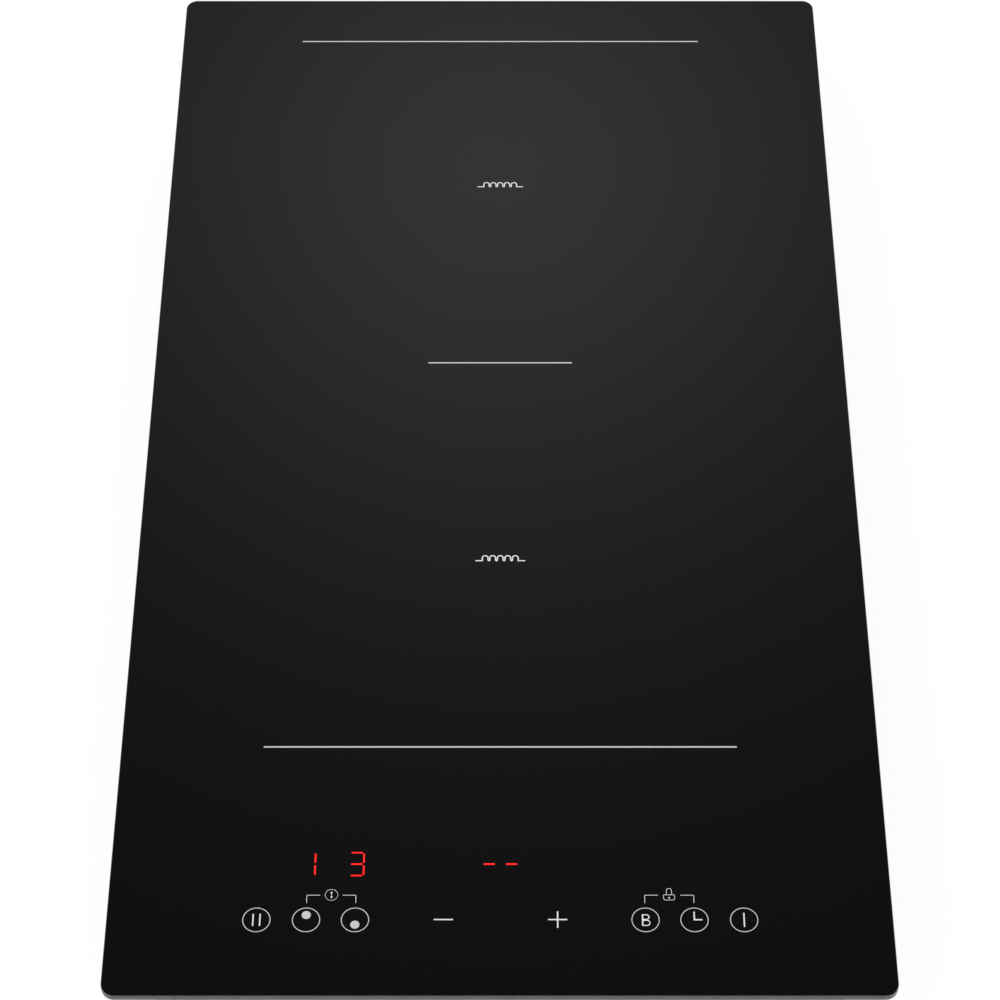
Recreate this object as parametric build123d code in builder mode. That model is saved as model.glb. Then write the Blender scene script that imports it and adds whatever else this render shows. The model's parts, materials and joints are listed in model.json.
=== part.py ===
from build123d import *
import os
from math import atan2, cos, degrees, radians, sin, sqrt

# Built-in two-zone induction cooktop with a glass-ceramic top, as separate pieces.
# Millimetres.  Origin under the middle of the base tray, +X to the user's right,
# -Y towards the user (the touch keys), +Z up.

# ---------------------------------------------------------------- driving dimensions
overall_height = 56.0

glass_width = 288.0
glass_length = 520.0
glass_thickness = 4.0
glass_corner = 5.0
glass_arris = 0.25
glass_lower_arris = 0.6

tray_width = 260.0
tray_length = 492.0
tray_corner = 3.0  # cut off the corners of the tray
corner_growth = 2 - sqrt(2)  # of a cut corner, for each millimetre that its sheet is larger
tray_sheet = 0.8

frame_sheet = 1.0
frame_flange = 8.0
frame_skirt = 13.0

bond_thickness = 0.8
bond_width = 6.0
seal_thickness = 2.0
seal_width = 6.0
seal_inset = 2.0
seal_corner = 2.0

pocket_width = 30.0  # corner pockets of the tray, which house the swivel clamps
pocket_length = 46.0
pocket_roof = 26.0  # underside of the tray in the pockets
recess_width = 44.0  # recess of the rear wall, which houses the cable gland
recess_depth = 24.0
recess_x = -65.0

zone_centres = {"rear": 136.7, "front": -56.4}
coil_radius = 84.0
coil_hole = 20.0
coil_split = 46.0
mat_thickness = 3.0
mica_thickness = 0.5
winding_thickness = 4.0
web_thickness = 2.0
ferrite_thickness = 4.0
spring_gap = 3.0
plate_thickness = 1.5

# levels, from the top down
glass_bottom = overall_height - glass_thickness
frame_top = glass_bottom - bond_thickness
tray_top = frame_top - frame_sheet
mat_bottom = glass_bottom - mat_thickness
mica_bottom = mat_bottom - mica_thickness
winding_bottom = mica_bottom - winding_thickness
web_bottom = winding_bottom - web_thickness
ferrite_bottom = web_bottom - ferrite_thickness
plate_top = ferrite_bottom - spring_gap
plate_bottom = plate_top - plate_thickness
pocket_floor = pocket_roof + tray_sheet

board_thickness = 1.6
board_bottom = 6.8
board_top = board_bottom + board_thickness

# what is small or hidden and round has few sides, to keep the model light
small_sides = 6
turned_sides = 12
coil_sides = 20
screw_radius = 1.5  # small screws inside the housing
screw_head = 3.0
screw_head_height = 1.8

os.makedirs("parts", exist_ok=True)


def four_corners(x, y):
    """The four points mirrored about the middle of the cooktop."""
    return [(-x, -y), (x, -y), (-x, y), (x, y)]


def cut_rectangle(width, length, corner, mode=Mode.ADD):
    """Rectangle whose four corners are cut off at 45 degrees."""
    x, y = width / 2, length / 2
    Polygon(
        (x, y - corner),
        (x - corner, y),
        (corner - x, y),
        (-x, y - corner),
        (-x, corner - y),
        (corner - x, -y),
        (x - corner, -y),
        (x, corner - y),
        mode=mode,
    )


def small_round(radius, mode=Mode.ADD):
    """Outline of a small hole, pin or shank."""
    RegularPolygon(radius, small_sides, mode=mode)


def turned(radius, mode=Mode.ADD):
    """Round outline of a turned piece, which shares its flats with the hole that it fills."""
    RegularPolygon(radius, turned_sides, mode=mode)


def running_bore(radius):
    """Hole for a round piece that turns in it: its flats lie on the circle."""
    RegularPolygon(radius, turned_sides, major_radius=False, mode=Mode.SUBTRACT)


def hexagon(radius, mode=Mode.ADD):
    """Outline of a nut, spacer or screw head, by the circle over its corners."""
    RegularPolygon(radius, 6, mode=mode)


def coil_round(radius, mode=Mode.ADD):
    """Round outline of a coil's layers."""
    RegularPolygon(radius, coil_sides, mode=mode)


# ---------------------------------------------------------------- glass and its frame
with BuildPart() as glass_panel:
    with BuildSketch(Plane.XY.offset(glass_bottom)):
        RectangleRounded(glass_width, glass_length, glass_corner)
    extrude(amount=glass_thickness)
    chamfer(glass_panel.faces().sort_by(Axis.Z)[-1].edges(), glass_arris)
    chamfer(glass_panel.faces().sort_by(Axis.Z)[0].edges(), glass_lower_arris)
glass_panel.part.label = "glass_panel"
export_step(glass_panel.part, "parts/glass_panel.step")

seal_width_out = glass_width - 2 * seal_inset
seal_length_out = glass_length - 2 * seal_inset
with BuildPart() as perimeter_seal:
    with BuildSketch(Plane.XY.offset(glass_bottom)):
        cut_rectangle(seal_width_out, seal_length_out, seal_corner)
        Rectangle(
            seal_width_out - 2 * seal_width,
            seal_length_out - 2 * seal_width,
            mode=Mode.SUBTRACT,
        )
    extrude(amount=-seal_thickness)
perimeter_seal.part.label = "perimeter_seal"
export_step(perimeter_seal.part, "parts/perimeter_seal.step")

frame_width = tray_width + 2 * frame_sheet
frame_length = tray_length + 2 * frame_sheet
frame_corner = tray_corner + frame_sheet * corner_growth
opening_width = frame_width - 2 * frame_flange
opening_length = frame_length - 2 * frame_flange

with BuildPart() as silicone_bond:
    with BuildSketch(Plane.XY.offset(glass_bottom)):
        cut_rectangle(frame_width, frame_length, frame_corner)
        Rectangle(
            frame_width - 2 * bond_width,
            frame_length - 2 * bond_width,
            mode=Mode.SUBTRACT,
        )
    extrude(amount=-bond_thickness)
silicone_bond.part.label = "silicone_bond"
export_step(silicone_bond.part, "parts/silicone_bond.step")

# self-tapping screws through the skirt and the tray wall
side_screw_y = [-185.0, 185.0]
end_screw_x = [0.0]
wall_screw_z = 43.5
wall_screw_radius = 1.5
wall_screw_head = 3.2
wall_screw_head_height = 1.4
wall_screw_tip = 4.0
wall_planes = [
    Plane(origin=(side * frame_width / 2, y, wall_screw_z), z_dir=(side, 0, 0))
    for side in (-1, 1)
    for y in side_screw_y
] + [
    Plane(origin=(x, side * frame_length / 2, wall_screw_z), z_dir=(0, side, 0))
    for side in (-1, 1)
    for x in end_screw_x
]
wall_stack = frame_sheet + tray_sheet

with BuildPart() as support_frame:
    with BuildSketch(Plane.XY.offset(frame_top)):
        cut_rectangle(frame_width, frame_length, frame_corner)
        Rectangle(opening_width, opening_length, mode=Mode.SUBTRACT)
    extrude(amount=-frame_sheet)
    with BuildSketch(Plane.XY.offset(frame_top - frame_sheet)):
        cut_rectangle(frame_width, frame_length, frame_corner)
        cut_rectangle(tray_width, tray_length, tray_corner, mode=Mode.SUBTRACT)
    extrude(amount=frame_sheet - frame_skirt)
    with BuildSketch(*wall_planes):
        small_round(wall_screw_radius)
    extrude(amount=-2 * frame_sheet, mode=Mode.SUBTRACT)
support_frame.part.label = "support_frame"
export_step(support_frame.part, "parts/support_frame.step")

with BuildPart() as housing_screws:
    with BuildSketch(*wall_planes):
        hexagon(wall_screw_head)
    extrude(amount=wall_screw_head_height)
    with BuildSketch(*wall_planes):
        small_round(wall_screw_radius)
    extrude(amount=-(wall_stack + wall_screw_tip))
housing_screws.part.label = "housing_screws"
export_step(housing_screws.part, "parts/housing_screws.step")

# ---------------------------------------------------------------- base tray
clamp_x = 116.0
clamp_y = 212.0
nut_barrel = 3.5

fan_x = 35.0
fan_y = 170.0
fan_inlet_radius = 23.0
grille_radius = 25.0
grille_slot = 4.0
grille_pitch = 7.0

vent_slot = 3.0
vent_pitch = 8.5
side_vent_count = 8
side_vent_height = 16.0
side_vent_z = 15.0
side_vent_y = -105.0
floor_vent_count = 7
floor_vent_length = 34.0
floor_vent_x = 50.0
floor_vent_y = -150.0
rear_vent_count = 7
rear_vent_x = 40.0

swage_length = 150.0
swage_width = 12.0
swage_height = 1.5
swages = [(x, 5.0) for x in (-75.0, -25.0, 25.0, 75.0)]

gland_z = 13.0
gland_hole = 8.2
gland_wall = tray_length / 2 - recess_depth


def tray_plan(inset):
    """Plan of the deep part of the tray, drawn in by inset all round."""
    with BuildSketch() as plan:
        Rectangle(tray_width, tray_length)
        with Locations(*four_corners(tray_width / 2, tray_length / 2)):
            Rectangle(2 * pocket_width, 2 * pocket_length, mode=Mode.SUBTRACT)
        with Locations((recess_x, tray_length / 2)):
            Rectangle(recess_width, 2 * recess_depth, mode=Mode.SUBTRACT)
        if inset:
            offset(amount=-inset, kind=Kind.INTERSECTION)
    return plan.sketch


def grille_slots():
    """Parallel slots cut to length by the circle of the fan inlet."""
    rows = int(grille_radius / grille_pitch)
    with BuildSketch() as grille:
        for row in range(-rows, rows + 1):
            half = sqrt(grille_radius**2 - (row * grille_pitch) ** 2)
            with Locations((fan_x, fan_y + row * grille_pitch)):
                Rectangle(2 * half, grille_slot)
    return grille.sketch


with BuildPart() as base_tray:
    with BuildSketch():
        add(tray_plan(0))
    extrude(amount=pocket_floor)
    with BuildSketch(Plane.XY.offset(pocket_roof)):
        cut_rectangle(tray_width, tray_length, tray_corner)
    extrude(amount=tray_top - pocket_roof)
    with BuildSketch(Plane.XY.offset(tray_sheet)):
        add(tray_plan(tray_sheet))
    extrude(amount=pocket_floor, mode=Mode.SUBTRACT)
    with BuildSketch(Plane.XY.offset(pocket_floor)):
        cut_rectangle(
            tray_width - 2 * tray_sheet,
            tray_length - 2 * tray_sheet,
            tray_corner - tray_sheet * corner_growth,
        )
    extrude(amount=tray_top, mode=Mode.SUBTRACT)
    # stiffening swages pressed up into the floor
    with BuildSketch(Plane.XY.offset(tray_sheet)):
        with Locations(*swages):
            Rectangle(swage_width, swage_length)
    extrude(amount=swage_height)
    with BuildSketch():
        with Locations(*swages):
            Rectangle(swage_width - 2 * tray_sheet, swage_length - 2 * tray_sheet)
    extrude(amount=swage_height, mode=Mode.SUBTRACT)
    # fan inlet and floor vents
    with BuildSketch():
        add(grille_slots())
        with Locations((floor_vent_x, floor_vent_y)):
            with GridLocations(vent_pitch, 0, floor_vent_count, 1):
                Rectangle(vent_slot, floor_vent_length)
    extrude(amount=tray_sheet, mode=Mode.SUBTRACT)
    # vents of the side walls
    with BuildSketch(Plane.YZ.offset(-tray_width / 2)):
        with Locations((side_vent_y, side_vent_z)):
            with GridLocations(vent_pitch, 0, side_vent_count, 1):
                Rectangle(vent_slot, side_vent_height)
    extrude(amount=tray_width, mode=Mode.SUBTRACT)
    # vents of the rear wall
    with BuildSketch(Plane.XZ.offset(-tray_length / 2)):
        with Locations((rear_vent_x, side_vent_z)):
            with GridLocations(vent_pitch, 0, rear_vent_count, 1):
                Rectangle(vent_slot, side_vent_height)
    extrude(amount=2 * tray_sheet, mode=Mode.SUBTRACT)
    # holes for the wall screws, the clamp nuts and the cable gland
    with BuildSketch(*wall_planes):
        small_round(wall_screw_radius)
    extrude(amount=-2 * wall_stack, mode=Mode.SUBTRACT)
    with BuildSketch(Plane.XY.offset(pocket_roof)):
        with Locations(*four_corners(clamp_x, clamp_y)):
            hexagon(nut_barrel)
    extrude(amount=tray_sheet, mode=Mode.SUBTRACT)
    with BuildSketch(Plane.XZ.offset(-gland_wall)):
        with Locations((recess_x, gland_z)):
            Circle(gland_hole)
    extrude(amount=2 * tray_sheet, mode=Mode.SUBTRACT)
base_tray.part.label = "base_tray"
export_step(base_tray.part, "parts/base_tray.step")

# ---------------------------------------------------------------- worktop clamps
clamp_sheet = 1.5
clamp_bottom = 22.0
clamp_head = 9.0
clamp_reach = 28.0
clamp_arm = 14.0
clamp_lip = 1.3
clamp_rib = 3.0
clamp_screw_radius = 2.5
clamp_play = 0.05
clamp_screw_length = 16.0
clamp_screw_head = 4.75
clamp_screw_head_height = 3.0
nut_flange = 5.5
nut_flange_thickness = 1.0
nut_barrel_height = 6.0

for x_side, x_name in ((-1, "left"), (1, "right")):
    for y_side, y_name in ((-1, "front"), (1, "rear")):
        pivot = Plane(
            origin=(x_side * clamp_x, y_side * clamp_y, clamp_bottom),
            x_dir=(0, y_side, 0),
            z_dir=(0, 0, 1),
        )
        with BuildPart() as clamp:
            with BuildSketch(pivot) as clamp_plan:
                turned(clamp_head)
                with Locations((clamp_reach / 2, 0)):
                    Rectangle(clamp_reach, clamp_arm)
                chamfer(clamp_plan.vertices().sort_by(Axis.X)[-2:], clamp_rib)
                running_bore(clamp_screw_radius + clamp_play)
            extrude(amount=clamp_sheet)
            # bead along the arm and the turned-up gripping lip at its tip
            with BuildSketch(pivot.offset(clamp_sheet)):
                with Locations((clamp_reach - clamp_sheet, 0)):
                    Rectangle(clamp_sheet, clamp_arm - 2 * clamp_rib)
                with Locations(((clamp_head + clamp_reach) / 2 - clamp_sheet, 0)):
                    Rectangle(clamp_reach - clamp_head - 2 * clamp_rib, clamp_rib)
            extrude(amount=clamp_lip)
        clamp.part.label = f"clamp_{y_name}_{x_name}"
        export_step(clamp.part, f"parts/clamp_{y_name}_{x_name}.step")

with BuildPart() as clamp_screws:
    with BuildSketch(Plane.XY.offset(clamp_bottom)):
        with Locations(*four_corners(clamp_x, clamp_y)):
            hexagon(clamp_screw_head)
    extrude(amount=-clamp_screw_head_height)
    with BuildSketch(Plane.XY.offset(clamp_bottom)):
        with Locations(*four_corners(clamp_x, clamp_y)):
            turned(clamp_screw_radius)
    extrude(amount=clamp_screw_length)
clamp_screws.part.label = "clamp_screws"
export_step(clamp_screws.part, "parts/clamp_screws.step")

with BuildPart() as clamp_nuts:
    with BuildSketch(Plane.XY.offset(pocket_roof)):
        with Locations(*four_corners(clamp_x, clamp_y)):
            hexagon(nut_flange)
    extrude(amount=-nut_flange_thickness)
    with BuildSketch(Plane.XY.offset(pocket_roof)):
        with Locations(*four_corners(clamp_x, clamp_y)):
            hexagon(nut_barrel)
    extrude(amount=nut_barrel_height)
    with BuildSketch(Plane.XY.offset(pocket_roof - nut_flange_thickness)):
        with Locations(*four_corners(clamp_x, clamp_y)):
            turned(clamp_screw_radius)
    extrude(amount=nut_flange_thickness + nut_barrel_height, mode=Mode.SUBTRACT)
clamp_nuts.part.label = "clamp_nuts"
export_step(clamp_nuts.part, "parts/clamp_nuts.step")

# ---------------------------------------------------------------- cable gland
gland_bore = 5.0
gland_collar = 11.0
gland_collar_depth = 5.0
gland_barrel = 8.0
gland_barrel_depth = 9.0
gland_cap = 9.6
gland_cap_depth = 11.0
gland_cap_chamfer = 2.5
gland_nut_depth = 4.0
gland_outside = Plane(
    origin=(recess_x, gland_wall, gland_z), x_dir=(1, 0, 0), z_dir=(0, 1, 0)
)
gland_inside = Plane(
    origin=(recess_x, gland_wall - tray_sheet, gland_z), x_dir=(1, 0, 0), z_dir=(0, -1, 0)
)

with BuildPart() as cable_gland:
    with BuildSketch(gland_outside):
        hexagon(gland_collar)
    extrude(amount=gland_collar_depth)
    with BuildSketch(gland_outside):
        turned(gland_barrel)
    extrude(amount=-gland_barrel_depth)
    with BuildSketch(gland_outside.offset(gland_collar_depth)):
        turned(gland_cap)
    extrude(amount=gland_cap_depth)
    chamfer(cable_gland.faces().sort_by(Axis.Y)[-1].edges(), gland_cap_chamfer)
    with BuildSketch(gland_outside.offset(-gland_barrel_depth)):
        Circle(gland_bore)
    extrude(amount=gland_barrel_depth + gland_collar_depth + gland_cap_depth, mode=Mode.SUBTRACT)
cable_gland.part.label = "cable_gland"
export_step(cable_gland.part, "parts/cable_gland.step")

with BuildPart() as gland_nut:
    with BuildSketch(gland_inside):
        hexagon(gland_collar)
        turned(gland_barrel, mode=Mode.SUBTRACT)
    extrude(amount=gland_nut_depth)
gland_nut.part.label = "gland_nut"
export_step(gland_nut.part, "parts/gland_nut.step")

# ---------------------------------------------------------------- coil carrier plate
plate_width = 244.0
plate_rear = 238.0
plate_front = -158.0
plate_clear_hole = 5.5
plate_coil_hole = 11.0
spacer_radius = 4.0
lead_spacing = 12.0
lead_radius = 1.8
lead_y = {"rear": 58.0, "front": 20.0}
zone_axes = [(0, y) for y in zone_centres.values()]
short_spacers = [(-106.0, 230.0), (106.0, 230.0)]
tall_spacers = [(-116.0, 40.0), (116.0, 40.0), (-116.0, -150.0), (116.0, -150.0)]
plate_fixings = short_spacers + tall_spacers

with BuildPart() as carrier_plate:
    with BuildSketch(Plane.XY.offset(plate_bottom)):
        with Locations((0, (plate_rear + plate_front) / 2)):
            cut_rectangle(plate_width, plate_rear - plate_front, tray_corner)
        with Locations((-clamp_x, clamp_y), (clamp_x, clamp_y)):
            small_round(plate_clear_hole, mode=Mode.SUBTRACT)
        with Locations(*[(0, y) for y in lead_y.values()]):
            Rectangle(2 * plate_coil_hole, plate_coil_hole, mode=Mode.SUBTRACT)
        with Locations(*zone_axes):
            small_round(plate_coil_hole, mode=Mode.SUBTRACT)
        with Locations(*plate_fixings):
            small_round(screw_radius, mode=Mode.SUBTRACT)
    extrude(amount=plate_thickness)
carrier_plate.part.label = "carrier_plate"
export_step(carrier_plate.part, "parts/carrier_plate.step")

with BuildPart() as plate_spacers:
    with BuildSketch(Plane.XY.offset(pocket_floor)):
        with Locations(*short_spacers):
            hexagon(spacer_radius)
            small_round(screw_radius, mode=Mode.SUBTRACT)
    extrude(amount=plate_bottom - pocket_floor)
    with BuildSketch(Plane.XY.offset(tray_sheet)):
        with Locations(*tall_spacers):
            hexagon(spacer_radius)
            small_round(screw_radius, mode=Mode.SUBTRACT)
    extrude(amount=plate_bottom - tray_sheet)
plate_spacers.part.label = "plate_spacers"
export_step(plate_spacers.part, "parts/plate_spacers.step")

# ---------------------------------------------------------------- induction coils
former_radius = coil_radius + 3.0
former_wall = 2.0
former_rim = 2.5
split_gap = 3.0
ferrite_count = 6
ferrite_length = 58.0
ferrite_width = 10.0
ferrite_radius = (coil_hole + coil_radius) / 2
rib_thickness = 2.0
sensor_hole = 8.0
sensor_radius = 5.0
sensor_flange = 7.0
spring_radius = 66.0
spring_count = 3
spring_start = 90.0
spring_span = 26.0
spring_crown = 10.0
spring_width = 8.0
spring_sheet = 0.6
spring_height = web_bottom - plate_top

with BuildPart() as insulation_mats:
    with BuildSketch(Plane.XY.offset(mat_bottom)):
        with Locations(*zone_axes):
            coil_round(former_radius)
            small_round(sensor_hole, mode=Mode.SUBTRACT)
    extrude(amount=mat_thickness)
insulation_mats.part.label = "insulation_mats"
export_step(insulation_mats.part, "parts/insulation_mats.step")

with BuildPart() as mica_discs:
    with BuildSketch(Plane.XY.offset(mica_bottom)):
        with Locations(*zone_axes):
            coil_round(former_radius)
            small_round(sensor_hole, mode=Mode.SUBTRACT)
    extrude(amount=mica_thickness)
mica_discs.part.label = "mica_discs"
export_step(mica_discs.part, "parts/mica_discs.step")

for zone, zone_y in zone_centres.items():
    zone_plane = Plane(origin=(0, zone_y, 0))
    lead_points = [
        (x, lead_y[zone] - zone_y) for x in (-lead_spacing / 2, lead_spacing / 2)
    ]

    # flat winding in two bands
    with BuildPart() as winding:
        with BuildSketch(zone_plane.offset(winding_bottom)):
            coil_round(coil_radius)
            coil_round(coil_split + split_gap, mode=Mode.SUBTRACT)
            coil_round(coil_split)
            coil_round(coil_hole, mode=Mode.SUBTRACT)
        extrude(amount=winding_thickness)
    winding.part.label = f"{zone}_coil_winding"
    export_step(winding.part, f"parts/{zone}_coil_winding.step")

    # moulded former: web, rims inside and outside the winding, walls of the ferrite pockets
    with BuildPart() as former:
        with BuildSketch(zone_plane.offset(web_bottom)):
            coil_round(former_radius)
            with Locations(*lead_points):
                small_round(lead_radius, mode=Mode.SUBTRACT)
        extrude(amount=web_thickness)
        with BuildSketch(zone_plane.offset(winding_bottom)):
            coil_round(former_radius)
            coil_round(coil_radius, mode=Mode.SUBTRACT)
            coil_round(coil_hole)
            coil_round(coil_hole - former_wall, mode=Mode.SUBTRACT)
        extrude(amount=former_rim)
        with BuildSketch(zone_plane.offset(web_bottom)):
            with PolarLocations(ferrite_radius, ferrite_count):
                Rectangle(ferrite_length + 2 * rib_thickness, ferrite_width + 2 * rib_thickness)
            with PolarLocations(ferrite_radius, ferrite_count):
                Rectangle(ferrite_length, ferrite_width, mode=Mode.SUBTRACT)
        extrude(amount=-ferrite_thickness)
    former.part.label = f"{zone}_coil_former"
    export_step(former.part, f"parts/{zone}_coil_former.step")

with BuildPart() as ferrite_bars:
    with BuildSketch(Plane.XY.offset(web_bottom)):
        with Locations(*zone_axes):
            with PolarLocations(ferrite_radius, ferrite_count):
                Rectangle(ferrite_length, ferrite_width)
    extrude(amount=-ferrite_thickness)
ferrite_bars.part.label = "ferrite_bars"
export_step(ferrite_bars.part, "parts/ferrite_bars.step")

with BuildPart() as temperature_sensors:
    with BuildSketch(Plane.XY.offset(winding_bottom)):
        with Locations(*zone_axes):
            hexagon(sensor_flange)
    extrude(amount=former_wall)
    with BuildSketch(Plane.XY.offset(winding_bottom)):
        with Locations(*zone_axes):
            turned(sensor_radius)
    extrude(amount=glass_bottom - winding_bottom)
temperature_sensors.part.label = "temperature_sensors"
export_step(temperature_sensors.part, "parts/temperature_sensors.step")

# bridge-shaped leaf springs, which press each former up against the glass
spring_planes = [
    Plane(
        origin=(spring_radius * cos(turn), zone_y + spring_radius * sin(turn), plate_top),
        x_dir=(-sin(turn), cos(turn), 0),
        z_dir=(cos(turn), sin(turn), 0),
    )
    for zone_y in zone_centres.values()
    for turn in (radians(spring_start + n * 360 / spring_count) for n in range(spring_count))
]
with BuildPart() as coil_springs:
    with BuildSketch(*spring_planes):
        with BuildLine():
            Polyline(
                (-spring_span / 2, 0),
                (-spring_crown / 2, spring_height - spring_sheet),
                (spring_crown / 2, spring_height - spring_sheet),
                (spring_span / 2, 0),
                (spring_span / 2, spring_sheet),
                (spring_crown / 2, spring_height),
                (-spring_crown / 2, spring_height),
                (-spring_span / 2, spring_sheet),
                close=True,
            )
        make_face()
    extrude(amount=spring_width / 2, both=True)
coil_springs.part.label = "coil_springs"
export_step(coil_springs.part, "parts/coil_springs.step")

# ---------------------------------------------------------------- circuit boards
board_width = 210.0
board_length = 205.0
board_y = 2.5
board_holes = [(x, board_y + y) for x in (-101.0, 101.0) for y in (-96.0, 96.0)]

filter_x = -60.0
filter_y = 146.0
filter_width = 82.0
filter_length = 70.0
filter_holes = [(filter_x + x, filter_y + y) for x in (-36.0, 36.0) for y in (-30.0, 30.0)]

standoff_radius = 3.5
snap_radius = 2.4
snap_height = 2.0

with BuildPart() as power_board:
    with BuildSketch(Plane.XY.offset(board_bottom)):
        with Locations((0, board_y)):
            Rectangle(board_width, board_length)
        with Locations(*board_holes):
            small_round(screw_radius, mode=Mode.SUBTRACT)
    extrude(amount=board_thickness)
power_board.part.label = "power_board"
export_step(power_board.part, "parts/power_board.step")

with BuildPart() as filter_board:
    with BuildSketch(Plane.XY.offset(board_bottom)):
        with Locations((filter_x, filter_y)):
            Rectangle(filter_width, filter_length)
        with Locations(*filter_holes):
            small_round(screw_radius, mode=Mode.SUBTRACT)
    extrude(amount=board_thickness)
filter_board.part.label = "filter_board"
export_step(filter_board.part, "parts/filter_board.step")

# nylon posts whose tips snap through the boards
with BuildPart() as board_standoffs:
    with BuildSketch(Plane.XY.offset(tray_sheet)):
        with Locations(*board_holes, *filter_holes):
            hexagon(standoff_radius)
    extrude(amount=board_bottom - tray_sheet)
    with BuildSketch(Plane.XY.offset(board_bottom)):
        with Locations(*board_holes, *filter_holes):
            small_round(screw_radius)
    extrude(amount=board_thickness)
    with BuildSketch(Plane.XY.offset(board_top)):
        with Locations(*board_holes, *filter_holes):
            hexagon(snap_radius)
    extrude(amount=snap_height)
board_standoffs.part.label = "board_standoffs"
export_step(board_standoffs.part, "parts/board_standoffs.step")

# coil leads: litz wires straight down to their terminals on the board
terminal_size = 7.0
terminal_height = 10.0
lead_points = [(x, y) for x in (-lead_spacing / 2, lead_spacing / 2) for y in lead_y.values()]

with BuildPart() as coil_terminals:
    with BuildSketch(Plane.XY.offset(board_top)):
        with Locations(*lead_points):
            Rectangle(terminal_size, terminal_size)
    extrude(amount=terminal_height)
coil_terminals.part.label = "coil_terminals"
export_step(coil_terminals.part, "parts/coil_terminals.step")

with BuildPart() as coil_leads:
    with BuildSketch(Plane.XY.offset(board_top + terminal_height)):
        with Locations(*lead_points):
            small_round(lead_radius)
    extrude(amount=winding_bottom - board_top - terminal_height)
coil_leads.part.label = "coil_leads"
export_step(coil_leads.part, "parts/coil_leads.step")

# extruded heat sink: upright base with fins along the air stream
sink_x = 58.5
sink_base = 4.0
sink_width = 36.0
sink_front = -92.0
sink_rear = 100.0
sink_height = 21.6
fin_count = 6
fin_thickness = 1.2
fin_pitch = (sink_height - fin_thickness) / (fin_count - 1)
sink_top = board_top + sink_height

with BuildPart() as heat_sink:
    with BuildSketch(Plane.XZ.offset(-sink_rear)):
        with Locations((sink_x, board_top)):
            Rectangle(sink_base, sink_height, align=(Align.MIN, Align.MIN))
        for fin in range(fin_count):
            with Locations((sink_x, board_top + fin * fin_pitch)):
                Rectangle(sink_width, fin_thickness, align=(Align.MIN, Align.MIN))
    extrude(amount=sink_rear - sink_front)
heat_sink.part.label = "heat_sink"
export_step(heat_sink.part, "parts/heat_sink.step")

# flat power devices standing against the heat sink on their legs
package_depth = 5.0
package_height = 18.0
leg_height = 3.5
leg_width = 1.2
leg_pitch = 5.4
leg_x = sink_x - package_depth / 2
transistor_y = [80.0, 55.0, -40.0, -65.0]
transistor_width = 16.0
bridge_y = 6.0
bridge_width = 28.0

with BuildPart() as power_transistors:
    with BuildSketch(Plane.XY.offset(board_top + leg_height)):
        with Locations(*[(sink_x, y) for y in transistor_y]):
            Rectangle(package_depth, transistor_width, align=(Align.MAX, Align.CENTER))
    extrude(amount=package_height)
    with BuildSketch(Plane.XY.offset(board_top)):
        with Locations(*[(leg_x, y) for y in transistor_y]):
            with GridLocations(0, leg_pitch, 1, 3):
                Rectangle(leg_width, leg_width)
    extrude(amount=leg_height)
power_transistors.part.label = "power_transistors"
export_step(power_transistors.part, "parts/power_transistors.step")

with BuildPart() as bridge_rectifier:
    with BuildSketch(Plane.XY.offset(board_top + leg_height)):
        with Locations((sink_x, bridge_y)):
            Rectangle(package_depth, bridge_width, align=(Align.MAX, Align.CENTER))
    extrude(amount=package_height)
    with BuildSketch(Plane.XY.offset(board_top)):
        with Locations((leg_x, bridge_y)):
            with GridLocations(0, leg_pitch, 1, 4):
                Rectangle(leg_width, leg_width)
    extrude(amount=leg_height)
bridge_rectifier.part.label = "bridge_rectifier"
export_step(bridge_rectifier.part, "parts/bridge_rectifier.step")

resonance_places = [(-84.0, y) for y in (-70.0, -30.0, 40.0, 80.0)]
resonance_size = (16.0, 32.0)
dc_link_place = (28.0, 84.0)
dc_link_size = (38.0, 20.0)
filter_capacitor_place = (-40.0, 132.0)
filter_capacitor_size = (26.0, 12.0)
capacitor_height = 22.0

with BuildPart() as film_capacitors:
    with BuildSketch(Plane.XY.offset(board_top)):
        with Locations(*resonance_places):
            Rectangle(*resonance_size)
        with Locations(dc_link_place):
            Rectangle(*dc_link_size)
        with Locations(filter_capacitor_place):
            Rectangle(*filter_capacitor_size)
    extrude(amount=capacitor_height)
film_capacitors.part.label = "film_capacitors"
export_step(film_capacitors.part, "parts/film_capacitors.step")

smoothing_places = [(x, -60.0) for x in (0.0, 18.0, 36.0)]
smoothing_radius = 6.5
smoothing_sides = 12
smoothing_height = 20.0
smoothing_chamfer = 0.8

with BuildPart() as smoothing_capacitors:
    with BuildSketch(Plane.XY.offset(board_top)):
        with Locations(*smoothing_places):
            RegularPolygon(smoothing_radius, smoothing_sides)
    extrude(amount=smoothing_height)
    chamfer(
        smoothing_capacitors.faces().filter_by(Axis.Z).group_by(Axis.Z)[-1].edges(),
        smoothing_chamfer,
    )
smoothing_capacitors.part.label = "smoothing_capacitors"
export_step(smoothing_capacitors.part, "parts/smoothing_capacitors.step")

transformer_place = (-40.0, -60.0)
transformer_core_size = (22.0, 14.0)
transformer_bobbin_size = (16.0, 22.0)
transformer_height = 18.0
transformer_core = 3.0

with BuildPart() as supply_transformer:
    with BuildSketch(Plane.XY.offset(board_top)):
        with Locations(transformer_place):
            Rectangle(*transformer_core_size)
    extrude(amount=transformer_height)
    with BuildSketch(Plane.XY.offset(board_top + transformer_core)):
        with Locations(transformer_place):
            Rectangle(*transformer_bobbin_size)
    extrude(amount=transformer_height - 2 * transformer_core)
supply_transformer.part.label = "supply_transformer"
export_step(supply_transformer.part, "parts/supply_transformer.step")

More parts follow.
